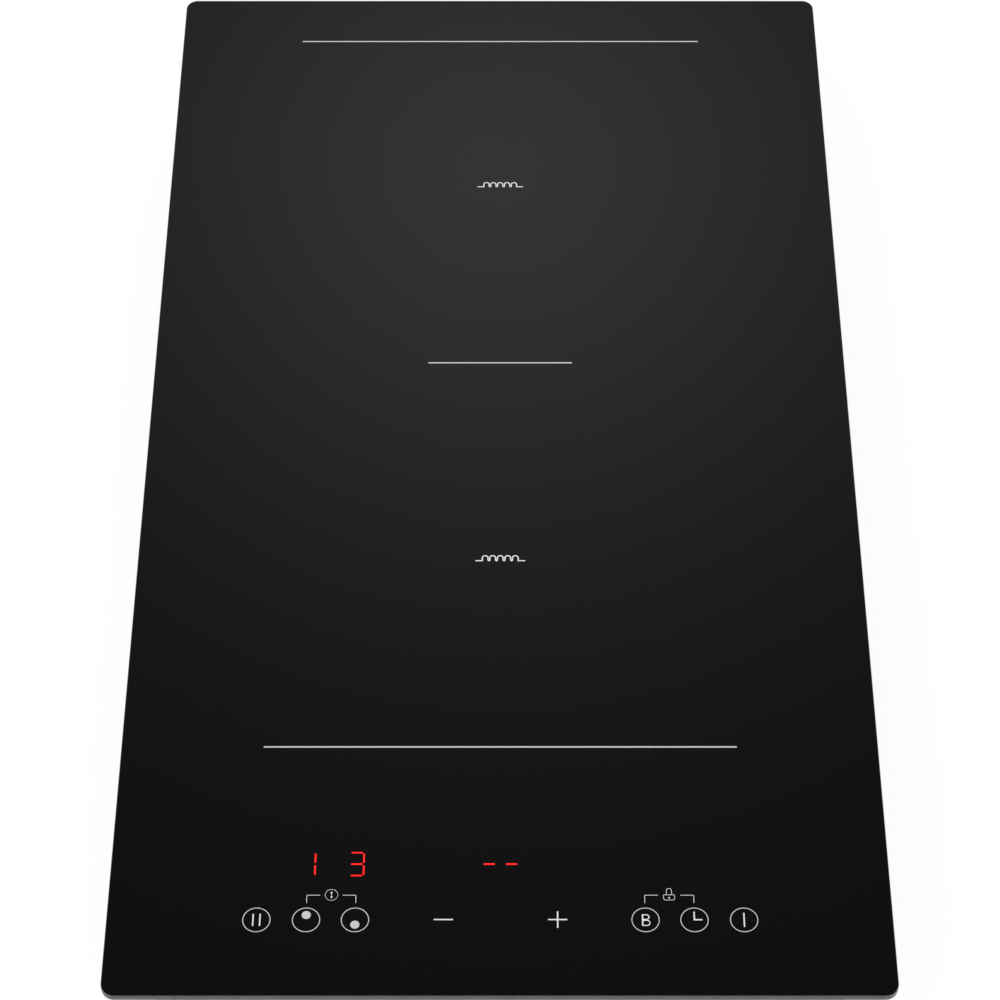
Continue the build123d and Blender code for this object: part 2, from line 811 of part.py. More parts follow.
# ring-core chokes of the board and of the mains filter, lying flat
choke_places = [(-42.0, 30.0), (-74.0, 140.0)]
choke_radius = 15.0
choke_hole = 6.5
choke_height = 14.0
choke_sides = 12
choke_chamfer = 2.0

with BuildPart() as chokes:
    with BuildSketch(Plane.XY.offset(board_top)):
        with Locations(*choke_places):
            RegularPolygon(choke_radius, choke_sides)
    extrude(amount=choke_height)
    chamfer(chokes.faces().filter_by(Axis.Z).edges(), choke_chamfer)
    with BuildSketch(Plane.XY.offset(board_top)):
        with Locations(*choke_places):
            RegularPolygon(choke_hole, choke_sides)
    extrude(amount=choke_height, mode=Mode.SUBTRACT)
chokes.part.label = "chokes"
export_step(chokes.part, "parts/chokes.step")

relay_place = (-42.0, 78.0)
relay_size = (28.0, 12.0)
relay_height = 15.0

with BuildPart() as power_relay:
    with BuildSketch(Plane.XY.offset(board_top)):
        with Locations(relay_place):
            Rectangle(*relay_size)
    extrude(amount=relay_height)
power_relay.part.label = "power_relay"
export_step(power_relay.part, "parts/power_relay.step")

socket_depth = 7.0
socket_height = 7.0
ribbon_x = -40.0
ribbon_socket_y = -94.0
ribbon_socket_width = 20.0
fan_socket_x = 44.0
fan_socket_y = 100.0
fan_socket_width = 9.0

with BuildPart() as board_sockets:
    with BuildSketch(Plane.XY.offset(board_top)):
        with Locations((ribbon_x, ribbon_socket_y)):
            Rectangle(ribbon_socket_width, socket_depth)
        with Locations((fan_socket_x, fan_socket_y)):
            Rectangle(fan_socket_width, socket_depth)
    extrude(amount=socket_height)
board_sockets.part.label = "board_sockets"
export_step(board_sockets.part, "parts/board_sockets.step")

# ---------------------------------------------------------------- mains entry
fuse_y = 164.0
fuse_start = -58.0
fuse_length = 24.0
fuse_radius = 3.0
fuse_lift = 1.0
fuse_clip = 5.0
fuse_clip_depth = 7.2

with BuildPart() as mains_fuse:
    with BuildSketch(Plane.YZ.offset(fuse_start)):
        with Locations((fuse_y, board_top + fuse_radius + fuse_lift)):
            small_round(fuse_radius)
    extrude(amount=fuse_length)
    with BuildSketch(Plane.XY.offset(board_top)):
        with Locations((fuse_start + fuse_clip, fuse_y), (fuse_start + fuse_length - fuse_clip, fuse_y)):
            Rectangle(fuse_clip, fuse_clip_depth)
    extrude(amount=2 * fuse_radius)
mains_fuse.part.label = "mains_fuse"
export_step(mains_fuse.part, "parts/mains_fuse.step")

terminal_y = 198.0
block_length = 46.0
block_depth = 18.0
block_height = 18.0
pole_count = 5
pole_pitch = 9.0
pole_radius = 2.5

# stepped block: the screws stand on the high half, the cable cores enter the low half
with BuildPart() as terminal_block:
    with BuildSketch(Plane.YZ.offset(recess_x - block_length / 2)):
        with Locations((terminal_y, tray_sheet)):
            Rectangle(block_depth, block_height, align=(Align.CENTER, Align.MIN))
        with Locations((terminal_y + block_depth / 2, tray_sheet + block_height)):
            Rectangle(block_depth, block_height, mode=Mode.SUBTRACT)
    extrude(amount=block_length)
    with BuildSketch(Plane.XY.offset(tray_sheet + block_height)):
        with Locations((recess_x, terminal_y - block_depth / 4)):
            with GridLocations(pole_pitch, 0, pole_count, 1):
                small_round(pole_radius)
    extrude(amount=-block_height / 3, mode=Mode.SUBTRACT)
terminal_block.part.label = "terminal_block"
export_step(terminal_block.part, "parts/terminal_block.step")

# ---------------------------------------------------------------- radial fan
fan_wall = 1.5
cover_top = tray_sheet + fan_wall
fan_top = 31.0
scroll_start = 35.0
scroll_step = 7.0
tongue_angle = 40.0
outlet_y = -48.0
scroll_half = scroll_step / 2
scroll_radii = [scroll_start + quarter * scroll_step for quarter in range(4)]
tongue_x = scroll_start * cos(radians(tongue_angle)) - scroll_half
outlet_x = scroll_half + scroll_radii[3]
fan_axis = Plane(origin=(fan_x, fan_y, 0))
fan_ears = [(-51.0, 3.0), (3.0, 58.0), (65.0, -30.0)]
ear_radius = 5.0
ear_height = 4.0
bearing_tube = 4.6
bearing_radius = 3.2
tube_bottom = 11.0
shaft_radius = 1.5
shaft_play = 0.03
boss_radius = 3.0
boss_gap = 1.0
shaft_bottom = 6.0
shaft_top = 28.5

with BuildSketch() as scroll_plan:
    # volute: four quarter arcs about the corners of a square, then the outlet
    with BuildLine():
        first = CenterArc(
            (-scroll_half, -scroll_half), scroll_radii[0], -tongue_angle, tongue_angle - 90
        )
        CenterArc((-scroll_half, scroll_half), scroll_radii[1], -90, -90)
        CenterArc((scroll_half, scroll_half), scroll_radii[2], 180, -90)
        last = CenterArc((scroll_half, -scroll_half), scroll_radii[3], 90, -90)
        Polyline(last @ 1, (outlet_x, outlet_y), (tongue_x, outlet_y), first @ 0)
    make_face()

with BuildSketch() as scroll_outside:
    add(scroll_plan.sketch)
    offset(amount=fan_wall, kind=Kind.INTERSECTION)

with BuildPart() as fan_cover:
    with BuildSketch(fan_axis.offset(tray_sheet)):
        add(scroll_outside.sketch)
        with Locations(*fan_ears):
            small_round(ear_radius)
            small_round(screw_radius, mode=Mode.SUBTRACT)
        coil_round(fan_inlet_radius, mode=Mode.SUBTRACT)
    extrude(amount=fan_wall)
fan_cover.part.label = "fan_cover"
export_step(fan_cover.part, "parts/fan_cover.step")

with BuildPart() as fan_housing:
    with BuildSketch(fan_axis.offset(cover_top)):
        add(scroll_outside.sketch)
    extrude(amount=fan_top - cover_top)
    with BuildSketch(fan_axis.offset(cover_top)):
        with Locations(*fan_ears):
            small_round(ear_radius)
            small_round(screw_radius, mode=Mode.SUBTRACT)
    extrude(amount=ear_height)
    with BuildSketch(fan_axis.offset(cover_top)):
        add(scroll_plan.sketch)
        with Locations(((tongue_x + outlet_x) / 2, outlet_y)):
            Rectangle(outlet_x - tongue_x, 3 * fan_wall)
    extrude(amount=fan_top - fan_wall - cover_top, mode=Mode.SUBTRACT)
    # bearing tube hanging from the top plate
    with BuildSketch(fan_axis.offset(tube_bottom)):
        turned(bearing_tube)
        turned(bearing_radius, mode=Mode.SUBTRACT)
    extrude(amount=fan_top - fan_wall - tube_bottom)
fan_housing.part.label = "fan_housing"
export_step(fan_housing.part, "parts/fan_housing.step")

with BuildPart() as fan_bearing:
    with BuildSketch(fan_axis.offset(tube_bottom)):
        turned(bearing_radius)
        running_bore(shaft_radius + shaft_play)
    extrude(amount=fan_top - fan_wall - tube_bottom)
fan_bearing.part.label = "fan_bearing"
export_step(fan_bearing.part, "parts/fan_bearing.step")

# four-pole stator with a coil round each pole
stator_radius = 11.0
stator_yoke = 6.3
stator_bottom = 13.0
stator_top = 24.0
shoe_thickness = 1.5
shoe_gap = 4.0
pole_width = 3.0
coil_overhang = 1.2
coil_depth = 1.8
coil_breadth = 5.0

with BuildPart() as fan_stator:
    with BuildSketch(fan_axis.offset(stator_bottom)):
        turned(stator_radius)
        turned(stator_radius - shoe_thickness, mode=Mode.SUBTRACT)
        Rectangle(2 * stator_radius, shoe_gap, rotation=45, mode=Mode.SUBTRACT)
        Rectangle(2 * stator_radius, shoe_gap, rotation=-45, mode=Mode.SUBTRACT)
        Rectangle(2 * stator_radius - shoe_thickness, pole_width)
        Rectangle(pole_width, 2 * stator_radius - shoe_thickness)
        turned(stator_yoke)
        turned(bearing_tube, mode=Mode.SUBTRACT)
    extrude(amount=stator_top - stator_bottom)
fan_stator.part.label = "fan_stator"
export_step(fan_stator.part, "parts/fan_stator.step")

with BuildPart() as stator_coils:
    with BuildSketch(fan_axis.offset(stator_bottom - coil_overhang)):
        with PolarLocations((stator_yoke + stator_radius - shoe_thickness) / 2, 4):
            Rectangle(coil_depth, coil_breadth)
    extrude(amount=stator_top - stator_bottom + 2 * coil_overhang)
    with BuildSketch(fan_axis.offset(stator_bottom)):
        Rectangle(2 * stator_radius, pole_width)
        Rectangle(pole_width, 2 * stator_radius)
    extrude(amount=stator_top - stator_bottom, mode=Mode.SUBTRACT)
stator_coils.part.label = "stator_coils"
export_step(stator_coils.part, "parts/stator_coils.step")

# rotor: shaft, magnet ring and the impeller with its forward-curved blades
blade_inner = 23.0
blade_outer = 29.5
blade_middle = 27.0
blade_bend = 0.6
blade_lean = 3.6
blade_thickness = 1.0
blade_count = 20
blade_bottom = 5.0
blade_tip_angle = -degrees(atan2(blade_lean, blade_outer))
web_level = 25.0
impeller_radius = 30.0
impeller_web = 1.5
ring_width = 7.6
ring_thickness = 1.2
cup_radius = 15.0
cup_wall = 1.5
cup_bottom = 6.0
cup_floor = 1.5
magnet_outer = cup_radius - cup_wall
magnet_inner = 12.0
magnet_bottom = 11.5

with BuildPart() as fan_shaft:
    with BuildSketch(fan_axis.offset(shaft_bottom)):
        turned(shaft_radius)
    extrude(amount=shaft_top - shaft_bottom)
fan_shaft.part.label = "fan_shaft"
export_step(fan_shaft.part, "parts/fan_shaft.step")

with BuildPart() as magnet_ring:
    with BuildSketch(fan_axis.offset(magnet_bottom)):
        turned(magnet_outer)
        turned(magnet_inner, mode=Mode.SUBTRACT)
    extrude(amount=web_level - magnet_bottom)
magnet_ring.part.label = "magnet_ring"
export_step(magnet_ring.part, "parts/magnet_ring.step")



def rotor_round(radius, mode=Mode.ADD):
    """Outline of the web and the ring, with a corner at the tip of each blade."""
    RegularPolygon(radius, blade_count, rotation=blade_tip_angle, mode=mode)


with BuildSketch() as blade_plan:
    # forward-curved: the blade bends in the middle of its depth
    with BuildLine():
        Polyline((blade_inner, 0), (blade_middle, blade_bend), (blade_outer, -blade_lean))
    trace(line_width=blade_thickness)

with BuildPart() as fan_impeller:
    # web, hub cup and bottom ring
    with BuildSketch(fan_axis.offset(web_level)):
        rotor_round(impeller_radius)
        turned(magnet_outer, mode=Mode.SUBTRACT)
    extrude(amount=impeller_web)
    with BuildSketch(fan_axis.offset(cup_bottom)):
        turned(cup_radius)
    extrude(amount=web_level - cup_bottom)
    with BuildSketch(fan_axis.offset(cup_bottom + cup_floor)):
        turned(magnet_outer)
    extrude(amount=web_level - cup_bottom - cup_floor, mode=Mode.SUBTRACT)
    with BuildSketch(fan_axis.offset(cup_bottom)):
        turned(boss_radius)
    extrude(amount=tube_bottom - cup_bottom - boss_gap)
    with BuildSketch(fan_axis.offset(cup_bottom)):
        turned(shaft_radius)
    extrude(amount=tube_bottom - cup_bottom, mode=Mode.SUBTRACT)
    with BuildSketch(fan_axis.offset(blade_bottom)):
        rotor_round(impeller_radius)
        rotor_round(impeller_radius - ring_width, mode=Mode.SUBTRACT)
    extrude(amount=ring_thickness)
    with BuildSketch(fan_axis.offset(blade_bottom + ring_thickness)):
        with PolarLocations(0, blade_count):
            add(blade_plan.sketch)
    extrude(amount=web_level - blade_bottom - ring_thickness)
fan_impeller.part.label = "fan_impeller"
export_step(fan_impeller.part, "parts/fan_impeller.step")

# duct that leads the air from the fan over the heat sink
duct_wall = 1.5
duct_gap = 1.0
duct_overhang = 3.0
duct_side = sink_x + sink_width + duct_gap
duct_rear = fan_y + outlet_y - fan_wall
duct_front = sink_front - duct_overhang

with BuildPart() as air_duct:
    with BuildSketch(Plane.XZ.offset(-duct_rear)):
        with Locations((sink_x, sink_top)):
            Rectangle(duct_side + duct_wall - sink_x, duct_wall, align=(Align.MIN, Align.MIN))
        with Locations((duct_side, board_top)):
            Rectangle(duct_wall, sink_height, align=(Align.MIN, Align.MIN))
    extrude(amount=duct_rear - duct_front)
air_duct.part.label = "air_duct"
export_step(air_duct.part, "parts/air_duct.step")

# ---------------------------------------------------------------- touch controls
key_y = -228.8
key_x = [-89.1, -70.95, -53.05, -20.7, 21.2, 53.3, 71.3, 89.5]
display_y = -205.0
zone_display_x = [-71.0, -53.0]
timer_display_x = 0.2

bracket_width = 244.0
bracket_front = -238.0
bracket_rear = -166.0
bracket_bottom = 39.0
bracket_floor = 2.0
bracket_top = 48.5
bracket_wall = 1.5
control_bottom = 46.0
control_top = control_bottom + board_thickness
control_inset = 2.5
bracket_y = (bracket_front + bracket_rear) / 2
bracket_length = bracket_rear - bracket_front
pillar_radius = 3.0
control_holes = [(x, y) for x in (-108.0, 108.0) for y in (-232.0, -172.0)]
leg_radius = 4.0
short_legs = [(-106.0, -230.0), (106.0, -230.0)]
tall_legs = [(-95.0, -172.0), (95.0, -172.0)]
ribbon_y = -182.0
ribbon_width = 16.0
ribbon_thickness = 1.0
ribbon_bend = 10.0
window_width = 24.0
window_length = 12.0
control_socket_height = 4.5

with BuildPart() as control_bracket:
    with BuildSketch(Plane.XY.offset(bracket_bottom)):
        with Locations((0, bracket_y)):
            Rectangle(bracket_width, bracket_length)
    extrude(amount=bracket_top - bracket_bottom)
    with BuildSketch(Plane.XY.offset(bracket_bottom + bracket_floor)):
        with Locations((0, bracket_y)):
            Rectangle(bracket_width - 2 * bracket_wall, bracket_length - 2 * bracket_wall)
    extrude(amount=bracket_top, mode=Mode.SUBTRACT)
    with BuildSketch(Plane.XY.offset(bracket_bottom + bracket_floor)):
        with Locations(*control_holes):
            hexagon(pillar_radius)
    extrude(amount=control_bottom - bracket_bottom - bracket_floor)
    # pins of the pillars, melted over above the control board
    with BuildSketch(Plane.XY.offset(control_bottom)):
        with Locations(*control_holes):
            small_round(screw_radius)
    extrude(amount=board_thickness)
    with BuildSketch(Plane.XY.offset(control_top)):
        with Locations(*control_holes):
            hexagon(snap_radius)
    extrude(amount=snap_height)
    with BuildSketch(Plane.XY.offset(bracket_bottom)):
        with Locations((ribbon_x, ribbon_y)):
            Rectangle(window_width, window_length)
    extrude(amount=bracket_floor, mode=Mode.SUBTRACT)
    with BuildSketch(Plane.XY.offset(pocket_floor)):
        with Locations(*short_legs):
            hexagon(leg_radius)
    extrude(amount=bracket_bottom - pocket_floor)
    with BuildSketch(Plane.XY.offset(tray_sheet)):
        with Locations(*tall_legs):
            hexagon(leg_radius)
    extrude(amount=bracket_bottom - tray_sheet)
control_bracket.part.label = "control_bracket"
export_step(control_bracket.part, "parts/control_bracket.step")

with BuildPart() as control_board:
    with BuildSketch(Plane.XY.offset(control_bottom)):
        with Locations((0, bracket_y)):
            Rectangle(bracket_width - 2 * control_inset, bracket_length - 2 * control_inset)
        with Locations(*control_holes):
            small_round(screw_radius, mode=Mode.SUBTRACT)
    extrude(amount=board_thickness)
control_board.part.label = "control_board"
export_step(control_board.part, "parts/control_board.step")

processor_place = (0.0, -200.0)
processor_size = 12.0
driver_places = [(-60.0, -196.0), (60.0, -196.0)]
driver_size = (10.0, 6.0)
chip_height = 1.5

with BuildPart() as control_chips:
    with BuildSketch(Plane.XY.offset(control_bottom)):
        with Locations(processor_place):
            Rectangle(processor_size, processor_size)
        with Locations(*driver_places):
            Rectangle(*driver_size)
    extrude(amount=-chip_height)
    with BuildSketch(Plane.XY.offset(control_bottom)):
        with Locations((ribbon_x, ribbon_y)):
            Rectangle(ribbon_socket_width, socket_depth)
    extrude(amount=-control_socket_height)
control_chips.part.label = "control_chips"
export_step(control_chips.part, "parts/control_chips.step")

one_digit = (12.0, 17.0)
two_digits = (22.0, 17.0)
touch_pad_radius = 4.5

with BuildPart() as led_displays:
    with BuildSketch(Plane.XY.offset(control_top)):
        with Locations(*[(x, display_y) for x in zone_display_x]):
            Rectangle(*one_digit)
        with Locations((timer_display_x, display_y)):
            Rectangle(*two_digits)
    extrude(amount=glass_bottom - control_top)
led_displays.part.label = "led_displays"
export_step(led_displays.part, "parts/led_displays.step")

with BuildPart() as touch_pads:
    with BuildSketch(Plane.XY.offset(control_top)):
        with Locations(*[(x, key_y) for x in key_x]):
            small_round(touch_pad_radius)
    extrude(amount=glass_bottom - control_top)
touch_pads.part.label = "touch_pads"
export_step(touch_pads.part, "parts/touch_pads.step")

# ---------------------------------------------------------------- small screws
plate_screw_length = 6.0
screw_sets = [
    (plate_fixings, plate_top, plate_screw_length),
    (
        [(fan_x + x, fan_y + y) for x, y in fan_ears],
        cover_top + ear_height,
        cover_top + ear_height - tray_sheet,
    ),
]
with BuildPart() as inner_screws:
    for places, seat, length in screw_sets:
        with BuildSketch(Plane.XY.offset(seat)):
            with Locations(*places):
                hexagon(screw_head)
        extrude(amount=screw_head_height)
        with BuildSketch(Plane.XY.offset(seat)):
            with Locations(*places):
                small_round(screw_radius)
        extrude(amount=-length)
inner_screws.part.label = "inner_screws"
export_step(inner_screws.part, "parts/inner_screws.step")

# ---------------------------------------------------------------- wiring
wire_radius = 1.2
wire_bend = 3.0
link_rise = 10.0
fan_wire_bend = 6.0
fan_wire_levels = [board_top + 2.0, board_top + 5.0]


def cut_corner(start, corner, end, cut):
    """Points of a wire's route from start to end, its one corner cut off."""
    first, middle, last = Vector(*start), Vector(*corner), Vector(*end)
    before = middle + (first - middle).normalized() * cut
    after = middle + (last - middle).normalized() * cut
    return [(point.X, point.Y) for point in (first, before, after, last)]


# ribbon cable from the touch controls down to the power board
ribbon_level = board_top + socket_height / 2
ribbon_start = control_bottom - control_socket_height
with BuildPart() as control_ribbon:
    with BuildSketch(Plane.YZ.offset(ribbon_x)):
        with BuildLine():
            FilletPolyline(
                (ribbon_y, ribbon_start),
                (ribbon_y, ribbon_level),
                (ribbon_socket_y - socket_depth / 2, ribbon_level),
                radius=ribbon_bend,
            )
        trace(line_width=ribbon_thickness)
    extrude(amount=ribbon_width / 2, both=True)
control_ribbon.part.label = "control_ribbon"
export_step(control_ribbon.part, "parts/control_ribbon.step")

# fan lead: two wires from the outlet wall of the fan to their socket
fan_wire_y = 130.0
fan_wire_route = cut_corner(
    (fan_x + tongue_x - fan_wall, fan_wire_y),
    (fan_socket_x, fan_wire_y),
    (fan_socket_x, fan_socket_y + socket_depth / 2),
    fan_wire_bend,
)
with BuildPart() as fan_lead:
    for level in fan_wire_levels:
        with BuildLine(Plane.XY.offset(level)) as route:
            Polyline(*fan_wire_route)
        with BuildSketch(Plane(origin=route.line @ 0, z_dir=route.line % 0)):
            hexagon(wire_radius)
        sweep(path=route.line, transition=Transition.RIGHT)
fan_lead.part.label = "fan_lead"
export_step(fan_lead.part, "parts/fan_lead.step")

# mains wires: terminal block to filter board, and filter board to power board
block_front = terminal_y - block_depth / 2
wire_level = tray_sheet + 0.75 * block_height  # half-way up the front of the block's step
terminal_wire_x = [recess_x + pole * pole_pitch for pole in (-1, 0, 1)]
wire_drop = 11.0
terminal_wire_route = cut_corner(
    (block_front, wire_level),
    (block_front - wire_drop, wire_level),
    (block_front - wire_drop, board_top),
    wire_bend,
)
link_x = [-50.0, -44.0]
link_edge = 5.0
link_rear = filter_y - filter_length / 2 + link_edge
link_front = board_y + board_length / 2 - link_edge

with BuildPart() as mains_wires:
    for x in terminal_wire_x:
        with BuildLine(Plane.YZ.offset(x)) as route:
            Polyline(*terminal_wire_route)
        with BuildSketch(Plane(origin=route.line @ 0, z_dir=route.line % 0)):
            hexagon(wire_radius)
        sweep(path=route.line, transition=Transition.RIGHT)
    for x in link_x:
        with BuildSketch(Plane.YZ.offset(x)):
            with BuildLine():
                Polyline(
                    (link_rear, board_top),
                    (link_rear, board_top + link_rise),
                    (link_front, board_top + link_rise),
                    (link_front, board_top),
                )
            trace(line_width=2 * wire_radius)
        extrude(amount=wire_radius, both=True)
mains_wires.part.label = "mains_wires"
export_step(mains_wires.part, "parts/mains_wires.step")
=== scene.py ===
import json
from functools import partial
from math import cos, pi, radians, sin

import bmesh
import bpy
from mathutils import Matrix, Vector


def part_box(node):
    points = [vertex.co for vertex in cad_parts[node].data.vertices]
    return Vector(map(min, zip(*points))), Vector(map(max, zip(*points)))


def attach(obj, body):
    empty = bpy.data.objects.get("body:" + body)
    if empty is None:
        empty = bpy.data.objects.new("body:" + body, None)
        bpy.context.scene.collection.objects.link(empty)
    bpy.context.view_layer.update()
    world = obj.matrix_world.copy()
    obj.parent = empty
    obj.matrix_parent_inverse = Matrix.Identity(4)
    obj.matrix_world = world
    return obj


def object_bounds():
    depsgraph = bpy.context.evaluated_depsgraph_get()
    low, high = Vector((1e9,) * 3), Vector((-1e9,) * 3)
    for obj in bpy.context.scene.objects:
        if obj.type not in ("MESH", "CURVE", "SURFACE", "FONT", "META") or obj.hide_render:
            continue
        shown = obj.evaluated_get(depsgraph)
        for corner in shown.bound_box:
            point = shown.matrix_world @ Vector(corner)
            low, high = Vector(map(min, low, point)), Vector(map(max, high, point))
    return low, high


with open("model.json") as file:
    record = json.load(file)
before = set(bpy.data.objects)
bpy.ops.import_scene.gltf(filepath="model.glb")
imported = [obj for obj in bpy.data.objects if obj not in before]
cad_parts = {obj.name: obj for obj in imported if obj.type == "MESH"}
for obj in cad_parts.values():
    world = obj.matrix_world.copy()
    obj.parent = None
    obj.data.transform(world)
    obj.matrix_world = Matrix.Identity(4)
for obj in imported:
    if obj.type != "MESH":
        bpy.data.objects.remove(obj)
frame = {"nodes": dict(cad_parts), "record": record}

# Looks of the built-in two-zone induction cooktop: the finishes of its pieces, the marks
# printed on the glass and the lit displays.
# Metres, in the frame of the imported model: +X to the user's right, -Y to the user, +Z up.

cad_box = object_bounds()

MM = 0.001
glass_low, glass_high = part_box("glass_panel")
pads_low, pads_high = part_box("touch_pads")
leds_low, leds_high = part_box("led_displays")
middle_x = (glass_low.x + glass_high.x) / 2
middle_y = (glass_low.y + glass_high.y) / 2
glass_top = glass_high.z

# In millimetres: the whole print lies a little to the right of the middle of the glass, and the
# rows of keys and digits lie a little behind the middle of their pads and displays.
PRINT_SHIFT = 0.2
KEY_SHIFT = 0.08
DISPLAY_SHIFT = 0.1
KEY_ROW = (pads_low.y + pads_high.y) / 2 / MM + KEY_SHIFT
DISPLAY_ROW = (leds_low.y + leds_high.y) / 2 / MM + DISPLAY_SHIFT

# ------------------------------------------------------------------ shader helpers
COLOURS = {m["slot"]: tuple(m["base_color"][:3]) for m in frame["record"]["materials"]}


def node(tree, kind, inputs=None, **settings):
    """Adds a shader node. An input is given a value or the socket that feeds it."""
    made = tree.nodes.new("ShaderNode" + kind)
    for name, value in settings.items():
        setattr(made, name, value)
    for name, value in (inputs or {}).items():
        if isinstance(value, bpy.types.NodeSocket):
            tree.links.new(value, made.inputs[name])
        else:
            made.inputs[name].default_value = value
    return made


def math(tree, operation, first, second=0.0):
    """Output of a Math node."""
    return node(tree, "Math", {0: first, 1: second}, operation=operation).outputs[0]


def product(tree, *factors):
    """Output of the Math nodes that multiply the factors."""
    result = factors[0]
    for factor in factors[1:]:
        result = math(tree, "MULTIPLY", result, factor)
    return result


def dot(tree, first, second):
    """Output of a dot product."""
    return node(tree, "VectorMath", {0: first, 1: second}, operation="DOT_PRODUCT").outputs["Value"]


def ramp(tree, factor, low, high, first, last, interpolation="LINEAR"):
    """Output of a Map Range node, held at its ends."""
    inputs = {"Value": factor, "From Min": low, "From Max": high, "To Min": first, "To Max": last}
    return node(tree, "MapRange", inputs, interpolation_type=interpolation).outputs["Result"]


# Numbers of the sockets that a colour mix uses on its node.
MIX_FACTOR, MIX_FIRST, MIX_SECOND, MIX_RESULT = 0, 6, 7, 2


def blend_colour(tree, factor, first, second):
    """Output of a colour mix from first, at 0, to second, at 1."""
    inputs = {MIX_FACTOR: factor, MIX_FIRST: first, MIX_SECOND: second}
    return node(tree, "Mix", inputs, data_type="RGBA").outputs[MIX_RESULT]


def tinted(colour, factor):
    """The colour made darker or lighter, as RGBA."""
    return (*(min(1.0, channel * factor) for channel in colour), 1.0)


def new_material(name):
    """A node material: its tree, its shader and object coordinates."""
    material = bpy.data.materials.new(name)
    material.use_nodes = True
    tree = material.node_tree
    shader = tree.nodes["Principled BSDF"]
    place = node(tree, "TexCoord").outputs["Object"]
    return material, tree, shader, place


def noise(tree, place, scale, detail=2.0):
    """Output of a noise texture, with scale in waves per metre."""
    inputs = {"Vector": place, "Scale": scale, "Detail": detail}
    return node(tree, "TexNoise", inputs).outputs["Fac"]


NOISE_LOW, NOISE_HIGH = 0.3, 0.7  # nearly all of a noise texture lies between these


def spread_noise(tree, waves, first, last):
    """Output that goes from first to last as the noise goes from low to high."""
    return ramp(tree, waves, NOISE_LOW, NOISE_HIGH, first, last)


def dress(tree, shader, tone, roughness, metallic=0.0):
    """Gives a shader its tone and its roughness, both sockets, and its share of metal."""
    tree.links.new(tone, shader.inputs["Base Color"])
    tree.links.new(roughness, shader.inputs["Roughness"])
    shader.inputs["Metallic"].default_value = metallic


def bump(tree, shader, height, depth):
    """Relief of the given depth, in metres, on a shader."""
    relief = node(tree, "Bump", {"Height": height, "Strength": 1.0, "Distance": depth})
    tree.links.new(relief.outputs["Normal"], shader.inputs["Normal"])


# ------------------------------------------------------------------ finishes
DRIFT_WAVES = 60.0
DRIFT_ROUGHNESS = 0.05


def plain_finish(slot, roughness, metallic=0.0, grain=1500.0, depth=0.00002, spread=0.12, tint=1.0):
    """Moulded, cast or rolled surface: fine grain, and a tone and gloss that drift a little."""
    material, tree, shader, place = new_material(slot)
    colour = tinted(COLOURS[slot], tint)[:3]
    drift = noise(tree, place, DRIFT_WAVES, 4.0)
    tone = blend_colour(tree, drift, tinted(colour, 1 - spread), tinted(colour, 1 + spread))
    gloss = spread_noise(tree, drift, roughness - DRIFT_ROUGHNESS, roughness + DRIFT_ROUGHNESS)
    dress(tree, shader, tone, gloss, metallic)
    bump(tree, shader, noise(tree, place, grain), depth)
    return material


GLASS_BODY = (0.003, 0.003, 0.0032, 1.0)
GLASS_IOR = 1.5
# Grey of the ground edge: painted floor light makes it lighter at the bottom of the edge and darker at
# its top.
EDGE_LOW_FLOOR_LIT_TONE = 0.13
EDGE_HIGH_SHADED_TONE = 0.018
# Upward part of the normal: below the first is the edge, above the second a flat face.
EDGE_SLOPE, FACE_SLOPE = 0.3, 0.6
EDGE_ROUGHNESS, FACE_ROUGHNESS = 0.34, 0.03
CLOUD_WAVES, CLOUD_DEPTH = 320.0, 0.25
GRINDING_WAVES, GRINDING_DEPTH = 2500.0, 0.15


def glass_finish(slot):
    """Polished black glass-ceramic with a ground edge, painted lighter towards its bottom with light
    from the floor.
    """
    material, tree, shader, place = new_material(slot)
    normal = node(tree, "TexCoord").outputs["Normal"]
    upward = node(tree, "SeparateXYZ", {"Vector": normal}).outputs["Z"]
    flat = ramp(tree, math(tree, "ABSOLUTE", upward), EDGE_SLOPE, FACE_SLOPE, 0.0, 1.0, "SMOOTHSTEP")
    height = node(tree, "SeparateXYZ", {"Vector": place}).outputs["Z"]
    # Painted light: the edge's tone rises from its top to its bottom, as light from the floor below
    # would.
    depth = ramp(tree, height, glass_low.z, glass_high.z, EDGE_LOW_FLOOR_LIT_TONE, EDGE_HIGH_SHADED_TONE)
    clouds = noise(tree, place, CLOUD_WAVES, 3.0)
    grooves = noise(tree, place, GRINDING_WAVES, 3.0)
    cloud = spread_noise(tree, clouds, 1 - CLOUD_DEPTH, 1 + CLOUD_DEPTH)
    grinding = spread_noise(tree, grooves, 1 - GRINDING_DEPTH, 1 + GRINDING_DEPTH)
    tone = product(tree, depth, cloud, grinding)
    ground = node(tree, "CombineColor", {"Red": tone, "Green": tone, "Blue": tone}).outputs["Color"]
    roughness = ramp(tree, flat, 0.0, 1.0, EDGE_ROUGHNESS, FACE_ROUGHNESS)
    dress(tree, shader, blend_colour(tree, flat, ground, GLASS_BODY), roughness)
    shader.inputs["IOR"].default_value = GLASS_IOR
    return material


SPANGLE_CELLS = 110.0
SPANGLE_DARK = 0.58
SPANGLE_LIGHT = 0.95
SPANGLE_SHARE = 0.55  # of the tone, the rest being a slow cloud


